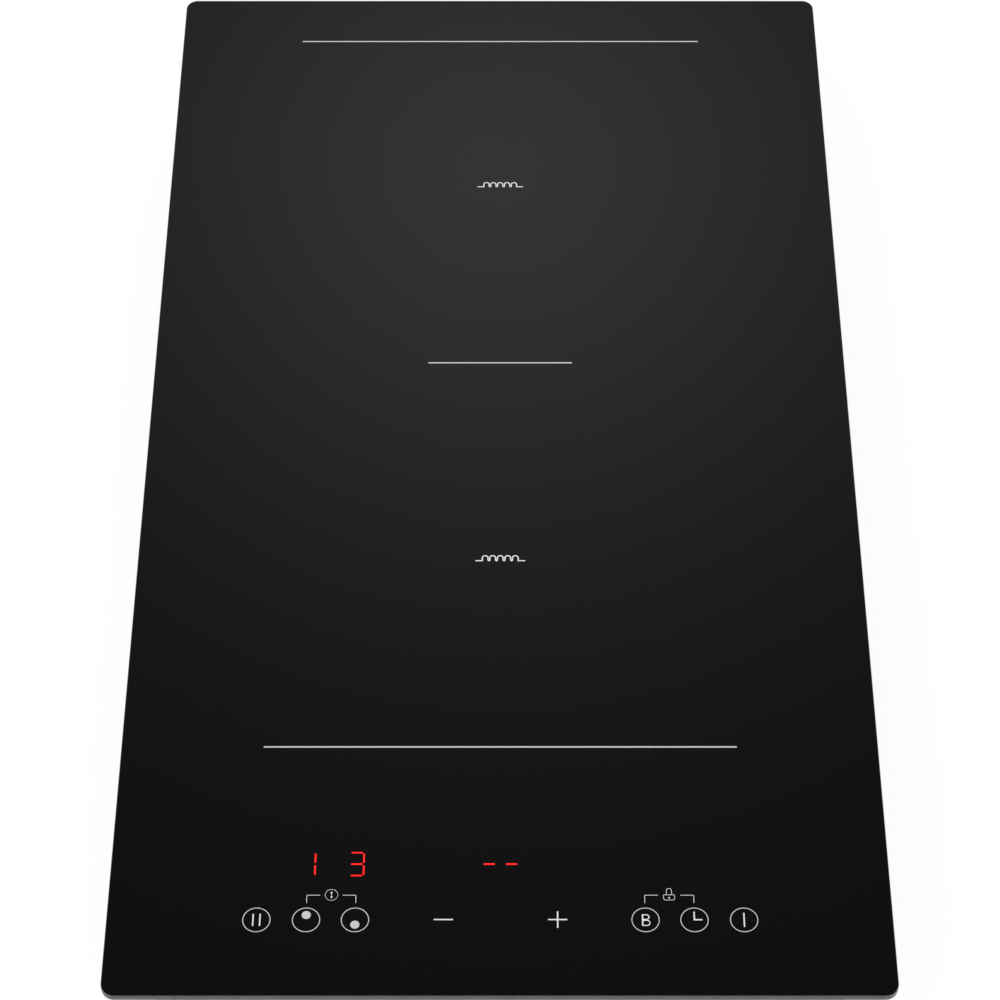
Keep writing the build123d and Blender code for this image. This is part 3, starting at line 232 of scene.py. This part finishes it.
def galvanised_finish(slot):
    """Hot-dip galvanised sheet: crystals of slightly different tone and gloss."""
    material, tree, shader, place = new_material(slot)
    colour = COLOURS[slot]
    crystals = node(tree, "TexVoronoi", {"Vector": place, "Scale": SPANGLE_CELLS})
    facet = node(tree, "SeparateColor", {"Color": crystals.outputs["Color"]}).outputs["Red"]
    cloud = noise(tree, place, 18.0, 3.0)
    spangle = product(tree, facet, SPANGLE_SHARE)
    shade = math(tree, "ADD", spangle, product(tree, cloud, 1 - SPANGLE_SHARE))
    tone = blend_colour(tree, shade, tinted(colour, SPANGLE_DARK), tinted(colour, SPANGLE_LIGHT))
    dress(tree, shader, tone, ramp(tree, facet, 0.0, 1.0, 0.34, 0.48), 1.0)
    bump(tree, shader, noise(tree, place, 700.0), 0.00001)
    return material


BRUSH_WAVES = 3000.0
BRUSH_STRETCH = (0.05, 1.0, 1.0)


def brushed_finish(slot, roughness, tint=1.0):
    """Rolled or drawn metal with fine lines along X."""
    material, tree, shader, place = new_material(slot)
    colour = tinted(COLOURS[slot], tint)[:3]
    stretched = node(tree, "Mapping", {"Vector": place, "Scale": BRUSH_STRETCH}).outputs["Vector"]
    lines = noise(tree, stretched, BRUSH_WAVES, 3.0)
    tone = blend_colour(tree, lines, tinted(colour, 0.88), tinted(colour, 1.08))
    dress(tree, shader, tone, spread_noise(tree, lines, roughness - 0.06, roughness + 0.08), 1.0)
    bump(tree, shader, lines, 0.000006)
    return material


FOAM_CELLS = 1400.0
FOAM_PITS = 0.00015


def foam_finish(slot):
    """Closed-cell foam or soft rubber: small pits, with painted shade darkening each pit."""
    material, tree, shader, place = new_material(slot)
    colour = COLOURS[slot]
    pits = node(tree, "TexVoronoi", {"Vector": place, "Scale": FOAM_CELLS}).outputs["Distance"]
    # Painted shade: the tone is darkest at the bottom of each pit and lighter at its rim.
    tone = blend_colour(tree, pits, tinted(colour, 0.6), tinted(colour, 1.3))
    dress(tree, shader, tone, ramp(tree, pits, 0.0, 1.0, 0.7, 0.95))
    bump(tree, shader, pits, FOAM_PITS)
    return material


STRAND_WAVES = 1800.0
STRAND_DEPTH = 0.0001


def winding_finish(slot):
    """Enamelled litz wire: a fine relief of lighter and darker strands."""
    material, tree, shader, place = new_material(slot)
    colour = COLOURS[slot]
    strands = noise(tree, place, STRAND_WAVES)
    tone = blend_colour(tree, strands, tinted(colour, 0.65), tinted(colour, 1.15))
    dress(tree, shader, tone, spread_noise(tree, strands, 0.28, 0.45), 0.85)
    bump(tree, shader, strands, STRAND_DEPTH)
    return material


LIT_RED = (1.0, 0.004, 0.004, 1.0)
LIT_STRENGTH = 0.9


def glow_finish(slot):
    """Lit display segment behind a clear light guide."""
    material = plain_finish(slot, 0.3)
    shader = material.node_tree.nodes["Principled BSDF"]
    shader.inputs["Emission Color"].default_value = LIT_RED
    shader.inputs["Emission Strength"].default_value = LIT_STRENGTH
    shader.inputs["Specular IOR Level"].default_value = 0.1
    return material


# Settings of all print, and its tints: lines and dots, fine brackets, and signs.
PRINT = {"roughness": 0.45, "grain": 4000.0, "depth": 0.000005, "spread": 0.05}
PRINT_TINTS = {"thin_print": 1.15, "fine_print": 1.5, "bright_print": 1.75}
FINISHES = {
    "glass_black": glass_finish,
    "silicone": partial(plain_finish, roughness=0.55, grain=400.0, depth=0.0001),
    "seal_foam": foam_finish,
    "frame_steel": partial(plain_finish, roughness=0.5, grain=900.0, depth=0.00006),
    "tray_steel": galvanised_finish,
    "screw_steel": partial(plain_finish, roughness=0.28, metallic=1.0, grain=2500.0, tint=0.75),
    "clamp_steel": partial(brushed_finish, roughness=0.36, tint=0.72),
    "gland_nylon": partial(plain_finish, roughness=0.5, depth=0.00004),
    "plate_aluminium": partial(brushed_finish, roughness=0.4),
    "spacer_steel": partial(brushed_finish, roughness=0.35),
    "mineral_mat": foam_finish,
    "mica": partial(plain_finish, roughness=0.35, grain=300.0, spread=0.3),
    "copper_winding": winding_finish,
    "former_plastic": partial(plain_finish, roughness=0.55, depth=0.00005),
    "ferrite": partial(plain_finish, roughness=0.6, grain=3000.0, depth=0.00006),
    "spring_steel": partial(brushed_finish, roughness=0.3),
    "circuit_board": partial(plain_finish, roughness=0.35, grain=500.0, spread=0.3),
    "white_plastic": partial(plain_finish, roughness=0.45),
    "black_plastic": partial(plain_finish, roughness=0.5, depth=0.00005, spread=0.2),
    "component_black": partial(plain_finish, roughness=0.4),
    "capacitor_case": partial(plain_finish, roughness=0.3),
    "capacitor_can": partial(plain_finish, roughness=0.3),
    "choke_core": winding_finish,
    "relay_case": partial(plain_finish, roughness=0.3),
    "heat_sink_aluminium": partial(brushed_finish, roughness=0.4),
    "sensor_ceramic": partial(plain_finish, roughness=0.4),
    "bearing_bronze": partial(plain_finish, roughness=0.4, metallic=1.0),
    "shaft_steel": partial(brushed_finish, roughness=0.22),
    "magnet": partial(plain_finish, roughness=0.55, grain=3000.0),
    "lamination": partial(brushed_finish, roughness=0.45),
    "display_red": partial(plain_finish, roughness=0.35),
    "touch_foam": foam_finish,
    "wire_sleeve": partial(plain_finish, roughness=0.4),
    "print_white": partial(plain_finish, **PRINT),
    "display_glow": glow_finish,
}
LOOKS = {slot: make(slot) for slot, make in FINISHES.items()}
for look, tint in PRINT_TINTS.items():
    LOOKS[look] = plain_finish("print_white", tint=tint, **PRINT)

for subpart in frame["record"]["subparts"]:
    slots = frame["nodes"][subpart["node"]].data.materials
    slots.clear()
    slots.append(LOOKS[subpart["material_slot"]])

# ------------------------------------------------------------------ marks on the glass
# Marks are drawn in millimetres from the middle of the print and filled between their
# outlines, an outline inside another being a hole.
PRINT_RISE = 0.02  # above the surface of the glass
PRINT_DEPTH = 0.03  # below it
MARK_GAP = 0.02  # left between outlines that would otherwise touch
SMALL_STEPS = 24  # sides of the smallest discs
WELD = 0.001  # points nearer than this become one


def arc(x, y, radius, start, end, steps=16):
    """Points along an arc, with its angles in degrees."""
    turns = [radians(start + (end - start) * i / steps) for i in range(steps + 1)]
    return [(x + radius * cos(a), y + radius * sin(a)) for a in turns]


def disc(x, y, radius, steps=64):
    """Outline of a disc."""
    return arc(x, y, radius, 0, 360, steps)[:-1]


def ring(x, y, radius, line):
    """Outlines of a circular line."""
    return [disc(x, y, radius + line / 2), disc(x, y, radius - line / 2)]


def stroke(points, line):
    """Outline of a line of even width along points, with mitred corners and square ends."""
    left, right = [], []
    for i, (x, y) in enumerate(points):
        back = Vector(points[i]) - Vector(points[max(i - 1, 0)])
        ahead = Vector(points[min(i + 1, len(points) - 1)]) - Vector(points[i])
        back = (back if back.length else ahead).normalized()
        ahead = (ahead if ahead.length else back).normalized()
        along = (back + ahead).normalized()
        reach = line / 2 / max(along.dot(ahead), 0.5)
        left.append((x - along.y * reach, y + along.x * reach))
        right.append((x + along.y * reach, y - along.x * reach))
    return left + right[::-1]


def pill(x0, y0, x1, y1, line):
    """Outline of a straight line with round ends."""
    along = Vector((x1 - x0, y1 - y0)).normalized()
    turn = 90 if along.x < 0.5 else 0
    far_end = arc(x1, y1, line / 2, turn - 90, turn + 90, 8)
    near_end = arc(x0, y0, line / 2, turn + 90, turn + 270, 8)
    return far_end + near_end


def mark(name, outlines, look):
    """A thin closed solid on the glass, filled between the outlines."""
    curve = bpy.data.curves.new(name, "CURVE")
    curve.dimensions = "2D"
    curve.fill_mode = "BOTH"
    curve.extrude = (PRINT_RISE + PRINT_DEPTH) / 2
    for outline in outlines:
        spline = curve.splines.new("POLY")
        spline.points.add(len(outline) - 1)
        for point, (x, y) in zip(spline.points, outline):
            point.co = (x, y, 0, 1)
        spline.use_cyclic_u = True
    drawing = bpy.data.objects.new(name + "_outline", curve)
    mesh = bpy.data.meshes.new_from_object(drawing)
    bpy.data.objects.remove(drawing)
    solid = bmesh.new()
    solid.from_mesh(mesh)
    bmesh.ops.remove_doubles(solid, verts=solid.verts, dist=WELD)
    bmesh.ops.recalc_face_normals(solid, faces=solid.faces)
    level = glass_top / MM + (PRINT_RISE - PRINT_DEPTH) / 2
    place = (middle_x / MM + PRINT_SHIFT, middle_y / MM, level)
    bmesh.ops.translate(solid, verts=solid.verts, vec=place)
    bmesh.ops.scale(solid, verts=solid.verts, vec=(MM, MM, MM))
    solid.to_mesh(mesh)
    solid.free()
    mesh.name = name
    mesh.materials.clear()
    mesh.materials.append(LOOKS[look])
    piece = bpy.data.objects.new(name, mesh)
    bpy.context.scene.collection.objects.link(piece)
    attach(piece, "housing")


ZONE_LINE = 0.65
ZONE_LINES = {232.9: 90.0, 39.9: 30.0, -152.82: 90.0}  # Y of a line: half its length
mark(
    "print_zone_lines",
    [stroke([(-half, y), (half, y)], ZONE_LINE) for y, half in ZONE_LINES.items()],
    "thin_print",
)

SYMBOL_PLACES = (142.4, -63.05)
SYMBOL_WIDTH = 19.8
SYMBOL_LINE = 0.5
LOOP_COUNT = 5
LOOP_RADIUS = 1.15
LOOP_TURN = 0.35
LOOP_RISE = 0.5


def coil_symbol(y):
    """Generic sign of an induction coil: a wire with a row of loops."""
    pitch = 2 * (LOOP_RADIUS + LOOP_TURN)
    first = -pitch * (LOOP_COUNT - 1) / 2
    low = y - LOOP_RISE
    points = [(-SYMBOL_WIDTH / 2, low - LOOP_TURN), (first - LOOP_RADIUS, low - LOOP_TURN)]
    for loop in range(LOOP_COUNT):
        x = first + loop * pitch
        points += arc(x, y + LOOP_RISE, LOOP_RADIUS, 180, 0)
        if loop < LOOP_COUNT - 1:
            points += arc(x + pitch / 2, low, LOOP_TURN, 180, 360, 10)
    points += [(-first + LOOP_RADIUS, low - LOOP_TURN), (SYMBOL_WIDTH / 2, low - LOOP_TURN)]
    return stroke(points, SYMBOL_LINE)


mark("print_zone_symbols", [coil_symbol(y) for y in SYMBOL_PLACES], "bright_print")

KEY_RADIUS = 5.0
KEY_LINE = 0.32
SIGN_LINE = 0.5
KEY_OUTER, KEY_MIDDLE, KEY_INNER = 89.21, 71.04, 53.14
PAUSE_X, REAR_ZONE_X, FRONT_ZONE_X = -KEY_OUTER, -KEY_MIDDLE, -KEY_INNER
BOOST_X, TIMER_X, POWER_X = KEY_INNER, KEY_MIDDLE, KEY_OUTER
MINUS_X, PLUS_X = -20.83, 20.99
DOT_RADIUS = 1.68
DOT_OFFSET = 2.03
RING_KEYS = (PAUSE_X, REAR_ZONE_X, FRONT_ZONE_X, BOOST_X, TIMER_X, POWER_X)
mark(
    "print_key_rings",
    [outline for x in RING_KEYS for outline in ring(x, KEY_ROW, KEY_RADIUS, KEY_LINE)],
    "thin_print",
)


LETTER_HALF = 2.45
LETTER_WAIST = 0.52
LETTER_LOW_BOWL = 3.1
LETTER_HIGH_BOWL = 2.8
LETTER_THIN = 0.75


def upright(x, half):
    """A short upright line in the middle of a key."""
    return stroke([(x, KEY_ROW - half), (x, KEY_ROW + half)], SIGN_LINE)


def letter_b(left, bottom, top):
    """The letter B: its outline and two counters."""
    waist = bottom + (top - bottom) * LETTER_WAIST
    outline = [(left, bottom)]
    holes = []
    for low, high, reach in ((bottom, waist, LETTER_LOW_BOWL), (waist, top, LETTER_HIGH_BOWL)):
        centre, bowl = (low + high) / 2, (high - low) / 2
        outline += arc(left + reach - bowl, centre, bowl, -90, 90)
        hollow = bowl - SIGN_LINE * LETTER_THIN
        hole = arc(left + reach - bowl, centre, hollow, -90, 90)
        holes.append([(left + SIGN_LINE, hole[0][1])] + hole + [(left + SIGN_LINE, hole[-1][1])])
    return [outline + [(left, top)]] + holes


HAND_UP = 3.4
HAND_SIDE = 2.95
HAND_X = TIMER_X - 0.04
HAND_Y = KEY_ROW + 0.05
PAUSE_GAP = 1.26
PAUSE_HALF = 2.5
POWER_HALF = 2.95
LETTER_LEFT = BOOST_X - 1.33
LETTER_Y = KEY_ROW - 0.1
key_signs = [
    upright(PAUSE_X - PAUSE_GAP, PAUSE_HALF),
    upright(PAUSE_X + PAUSE_GAP, PAUSE_HALF),
    *letter_b(LETTER_LEFT, LETTER_Y - LETTER_HALF, LETTER_Y + LETTER_HALF),
    stroke([(HAND_X, HAND_Y + HAND_UP), (HAND_X, HAND_Y), (HAND_X + HAND_SIDE, HAND_Y)], SIGN_LINE),
    upright(POWER_X, POWER_HALF),
]
mark("print_key_signs", key_signs, "bright_print")
zone_dots = [
    disc(REAR_ZONE_X, KEY_ROW + DOT_OFFSET, DOT_RADIUS),
    disc(FRONT_ZONE_X, KEY_ROW - DOT_OFFSET, DOT_RADIUS),
]
mark("print_zone_dots", zone_dots, "thin_print")

STEP_ARM = 3.5
STEP_HALF_LINE = 0.26
STEP_Y = KEY_ROW + 0.12
arm = [(STEP_HALF_LINE, STEP_HALF_LINE), (STEP_HALF_LINE, STEP_ARM), (-STEP_HALF_LINE, STEP_ARM)]
plus_outline = [
    (PLUS_X + x * cos(turn) - y * sin(turn), STEP_Y + x * sin(turn) + y * cos(turn))
    for turn in (0, pi / 2, pi, 3 * pi / 2)
    for x, y in arm
]
minus_outline = stroke([(MINUS_X - STEP_ARM, STEP_Y), (MINUS_X + STEP_ARM, STEP_Y)], 2 * STEP_HALF_LINE)
mark("print_step_signs", [minus_outline, plus_outline], "bright_print")

BRACKET_LINE = 0.21
BRACKET_OUTER, BRACKET_INNER = 71.12, 53.06
BRACKET_Y = -218.26
BRACKET_DROP = 3.33
BRACKET_ARM = 4.88
BRACKET_CORNER = 0.35


def corner_line(x, end):
    """A line that rises from a key and turns towards end with a small round corner."""
    side = 1 if end > x else -1
    centre_x, centre_y = x + side * BRACKET_CORNER, BRACKET_Y - BRACKET_CORNER
    bend = arc(centre_x, centre_y, BRACKET_CORNER, 90 + side * 90, 90, 6)
    return stroke([(x, BRACKET_Y - BRACKET_DROP)] + bend + [(end, BRACKET_Y)], BRACKET_LINE)


def brackets(left, right):
    """Two corner lines that join a pair of keys."""
    return [corner_line(left, left + BRACKET_ARM), corner_line(right, right - BRACKET_ARM)]


LINK_PLACE = (-62.07, -218.14)
LINK_RADIUS = 2.32
LINK_LINE = 0.14
LINK_DOT = 0.36
LINK_OFFSET = 0.9
LINK_BAR = 0.16
link_x, link_y = LINK_PLACE
mark(
    "print_bridge_bracket",
    brackets(-BRACKET_OUTER, -BRACKET_INNER) + ring(link_x, link_y, LINK_RADIUS, LINK_LINE),
    "fine_print",
)
link_sign = [disc(link_x, link_y + side * LINK_OFFSET, LINK_DOT, SMALL_STEPS) for side in (-1, 1)]
bar_half = LINK_OFFSET - LINK_DOT - MARK_GAP
link_sign.append(stroke([(link_x, link_y - bar_half), (link_x, link_y + bar_half)], LINK_BAR))
mark("print_bridge_sign", link_sign, "bright_print")

LOCK_X = 62.07
LOCK_HALF = 2.05
LOCK_BOTTOM, LOCK_TOP = -220.34, -218.1
LOCK_TOP_CORNER = 0.3
LOCK_BOTTOM_CORNER = 0.85
LOCK_LINE = 0.19
KEYHOLE_Y = -219.4
KEYHOLE_RADIUS = 0.33
SHACKLE_RADIUS = 0.95
SHACKLE_RISE = 1.8


def lock_body(grow):
    """Outline of the padlock's body, moved out from its centre line by grow."""
    upper, lower = LOCK_TOP_CORNER + grow, LOCK_BOTTOM_CORNER + grow
    left, right = LOCK_X - LOCK_HALF - grow, LOCK_X + LOCK_HALF + grow
    low, high = LOCK_BOTTOM - grow, LOCK_TOP + grow
    outline = arc(right - upper, high - upper, upper, 0, 90, 6)
    outline += arc(left + upper, high - upper, upper, 90, 180, 6)
    outline += arc(left + lower, low + lower, lower, 180, 270, 8)
    outline += arc(right - lower, low + lower, lower, 270, 360, 8)
    return outline


shackle_foot = LOCK_TOP + LOCK_LINE / 2 + MARK_GAP
shackle = [(LOCK_X - SHACKLE_RADIUS, shackle_foot)]
shackle += arc(LOCK_X, LOCK_TOP + SHACKLE_RISE, SHACKLE_RADIUS, 180, 0)
shackle += [(LOCK_X + SHACKLE_RADIUS, shackle_foot)]
lock_marks = brackets(BRACKET_INNER, BRACKET_OUTER)
lock_marks += [lock_body(LOCK_LINE / 2), lock_body(-LOCK_LINE / 2), stroke(shackle, LOCK_LINE)]
mark("print_lock_bracket", lock_marks, "fine_print")
mark("print_lock_keyhole", [disc(LOCK_X, KEYHOLE_Y, KEYHOLE_RADIUS, SMALL_STEPS)], "bright_print")

# ------------------------------------------------------------------ lit displays
SEGMENT_LINE = 0.6
SEGMENT_REACH = 2.12
SEGMENT_SIDE = 2.6
SEGMENT_HEIGHT = 4.94
SEGMENT_GAP = 0.52
SEGMENT_INSET = 0.34
DIGITS = {"1": "bc", "3": "abcdg", "-": "g"}


def segment(x, letter):
    """Outline of one of the seven segments of a digit."""
    rows = {"a": SEGMENT_HEIGHT, "g": 0.0, "d": -SEGMENT_HEIGHT}
    if letter in rows:
        y = DISPLAY_ROW + rows[letter]
        reach = SEGMENT_REACH - SEGMENT_LINE / 2
        return pill(x - reach, y, x + reach, y, SEGMENT_LINE)
    side = SEGMENT_SIDE if letter in "bc" else -SEGMENT_SIDE
    up = 1 if letter in "bf" else -1
    ends = sorted((DISPLAY_ROW + up * SEGMENT_GAP, DISPLAY_ROW + up * (SEGMENT_HEIGHT - SEGMENT_INSET)))
    inset = SEGMENT_LINE / 2
    return pill(x + side, ends[0] + inset, x + side, ends[1] - inset, SEGMENT_LINE)


SHOWN = {-71.13: "1", -53.13: "3", -4.09: "-", 4.23: "-"}  # middle of a digit: what it shows
lit = [segment(x, letter) for x, digit in SHOWN.items() for letter in DIGITS[digit]]
mark("display_segments", lit, "display_glow")

# ------------------------------------------------------------------ camera, light, floor
VIEW_TILT = radians(38.26)
VIEW_DISTANCE = 1.284
VIEW_AIM = -0.03315
VIEW_SIDE = 0.0001
LENS = 114.46
SENSOR_WIDTH = 36.0
camera_data = bpy.data.cameras.new("camera")
camera_data.lens = LENS
camera_data.sensor_width = SENSOR_WIDTH
camera = bpy.data.objects.new("camera", camera_data)
bpy.context.scene.collection.objects.link(camera)
camera.location = (
    middle_x + VIEW_SIDE,
    middle_y + VIEW_AIM - VIEW_DISTANCE * sin(VIEW_TILT),
    glass_top + VIEW_DISTANCE * cos(VIEW_TILT),
)
camera.rotation_euler = (VIEW_TILT, 0.0, 0.0)
bpy.context.scene.camera = camera


LAMPS = {
    "key_light": {"place": (-1.4, -1.2, 2.0), "size": 1.6, "power": 18.0},
    "fill_light": {"place": (1.8, -0.6, 1.4), "size": 1.4, "power": 7.0},
    "rear_light": {"place": (0.3, 2.0, 1.6), "size": 1.4, "power": 6.0},
}


def softbox(name, place, size, power):
    """A square area lamp aimed at the object, which glossy surfaces don't mirror."""
    lamp = bpy.data.lights.new(name, "AREA")
    lamp.size = size
    lamp.energy = power
    holder = bpy.data.objects.new(name, lamp)
    holder.location = place
    aim = Vector((middle_x, middle_y, glass_top)) - holder.location
    holder.rotation_euler = aim.to_track_quat("-Z", "Y").to_euler()
    holder.visible_glossy = False
    bpy.context.scene.collection.objects.link(holder)


for lamp_name, lamp_settings in LAMPS.items():
    softbox(lamp_name, **lamp_settings)

# The surround: even light on the object, and in reflections a dark ceiling with one soft glow,
# high behind the object, and a white horizon.
AMBIENT = 0.55
GLOW_ELEVATION = radians(46.0)
GLOW_PEAK = 0.61
GLOW_WIDTH = radians(6.9)
GLOW_POWER = 1.65
GLOW_SIDE = 1.03  # width of the glow over its height
GLOW_LOW = 0.82  # reach of its lower half over that of its upper half
SKY_DARK = 0.05
HORIZON_LOW = radians(6.0)
HORIZON_HIGH = radians(24.0)


def seen_rays(tree):
    """1 for camera, mirror and see-through rays, which are shown the background."""
    path = node(tree, "LightPath")
    rays = [path.outputs[name] for name in ("Is Camera Ray", "Is Glossy Ray", "Is Transmission Ray")]
    return math(tree, "MAXIMUM", math(tree, "MAXIMUM", rays[0], rays[1]), rays[2])


def studio_world():
    """White surround: plain for the camera, a dark ceiling with one soft glow for reflections."""
    world = bpy.data.worlds.new("studio")
    bpy.context.scene.world = world
    world.use_nodes = True
    tree = world.node_tree
    output = tree.nodes["World Output"]
    direction = node(tree, "TexCoord").outputs["Generated"]
    up = node(tree, "SeparateXYZ", {"Vector": direction}).outputs["Z"]
    ahead = Vector((0.0, cos(GLOW_ELEVATION), sin(GLOW_ELEVATION)))
    above = Vector((0.0, -sin(GLOW_ELEVATION), cos(GLOW_ELEVATION)))
    sideways = dot(tree, direction, (1.0, 0.0, 0.0))
    rise = dot(tree, direction, above)
    front = dot(tree, direction, ahead)
    low = math(tree, "LESS_THAN", rise, 0.0)
    squeeze = ramp(tree, low, 0.0, 1.0, 1.0, 1.0 / GLOW_LOW)
    across = math(tree, "DIVIDE", sideways, GLOW_SIDE)
    along = product(tree, rise, squeeze)
    square = math(tree, "ADD", product(tree, across, across), product(tree, along, along))
    distance = math(tree, "DIVIDE", math(tree, "SQRT", square), GLOW_WIDTH)
    fall = math(tree, "POWER", distance, GLOW_POWER)
    glow = math(tree, "EXPONENT", product(tree, fall, -1.0))
    glow = product(tree, glow, math(tree, "GREATER_THAN", front, 0.0))
    horizon = ramp(tree, up, sin(HORIZON_LOW), sin(HORIZON_HIGH), 1.0, SKY_DARK, "SMOOTHSTEP")
    mirrored = math(tree, "ADD", product(tree, glow, GLOW_PEAK), horizon)
    glossy = node(tree, "LightPath").outputs["Is Glossy Ray"]
    seen = ramp(tree, glossy, 0.0, 1.0, 1.0, mirrored)
    strength = ramp(tree, seen_rays(tree), 0.0, 1.0, AMBIENT, seen)
    background = tree.nodes["Background"]
    tree.links.new(strength, background.inputs["Strength"])
    background.inputs["Color"].default_value = (1.0, 1.0, 1.0, 1.0)
    tree.links.new(background.outputs[0], output.inputs["Surface"])


studio_world()

FLOOR_SIZE = 8.0
FLOOR_GAP = 0.0002
FLOOR_GLOW = 0.8
FLOOR_WHITE = 1.1
FLOOR_COLOUR = (0.92, 0.92, 0.92, 1.0)


def studio_floor():
    """Pale floor that shows white and keeps a faint shadow. From below it is clear."""
    mesh = bpy.data.meshes.new("floor")
    solid = bmesh.new()
    bmesh.ops.create_grid(solid, x_segments=1, y_segments=1, size=FLOOR_SIZE / 2)
    solid.to_mesh(mesh)
    solid.free()
    floor = bpy.data.objects.new("floor", mesh)
    floor.location = (middle_x, middle_y, cad_box[0].z - FLOOR_GAP)
    bpy.context.scene.collection.objects.link(floor)
    material, tree, shader, _ = new_material("floor")
    shader.inputs["Base Color"].default_value = FLOOR_COLOUR
    shader.inputs["Roughness"].default_value = 0.9
    shader.inputs["Specular IOR Level"].default_value = 0.0
    white = node(tree, "Emission", {"Strength": FLOOR_WHITE})
    share = product(tree, seen_rays(tree), FLOOR_GLOW)
    above = node(tree, "MixShader", {0: share, 1: shader.outputs[0], 2: white.outputs[0]})
    back = node(tree, "NewGeometry").outputs["Backfacing"]
    clear = node(tree, "BsdfTransparent")
    sheet = node(tree, "MixShader", {0: back, 1: above.outputs[0], 2: clear.outputs[0]})
    tree.links.new(sheet.outputs[0], tree.nodes["Material Output"].inputs["Surface"])
    mesh.materials.append(material)


studio_floor()
bpy.context.scene.view_settings.view_transform = "Standard"
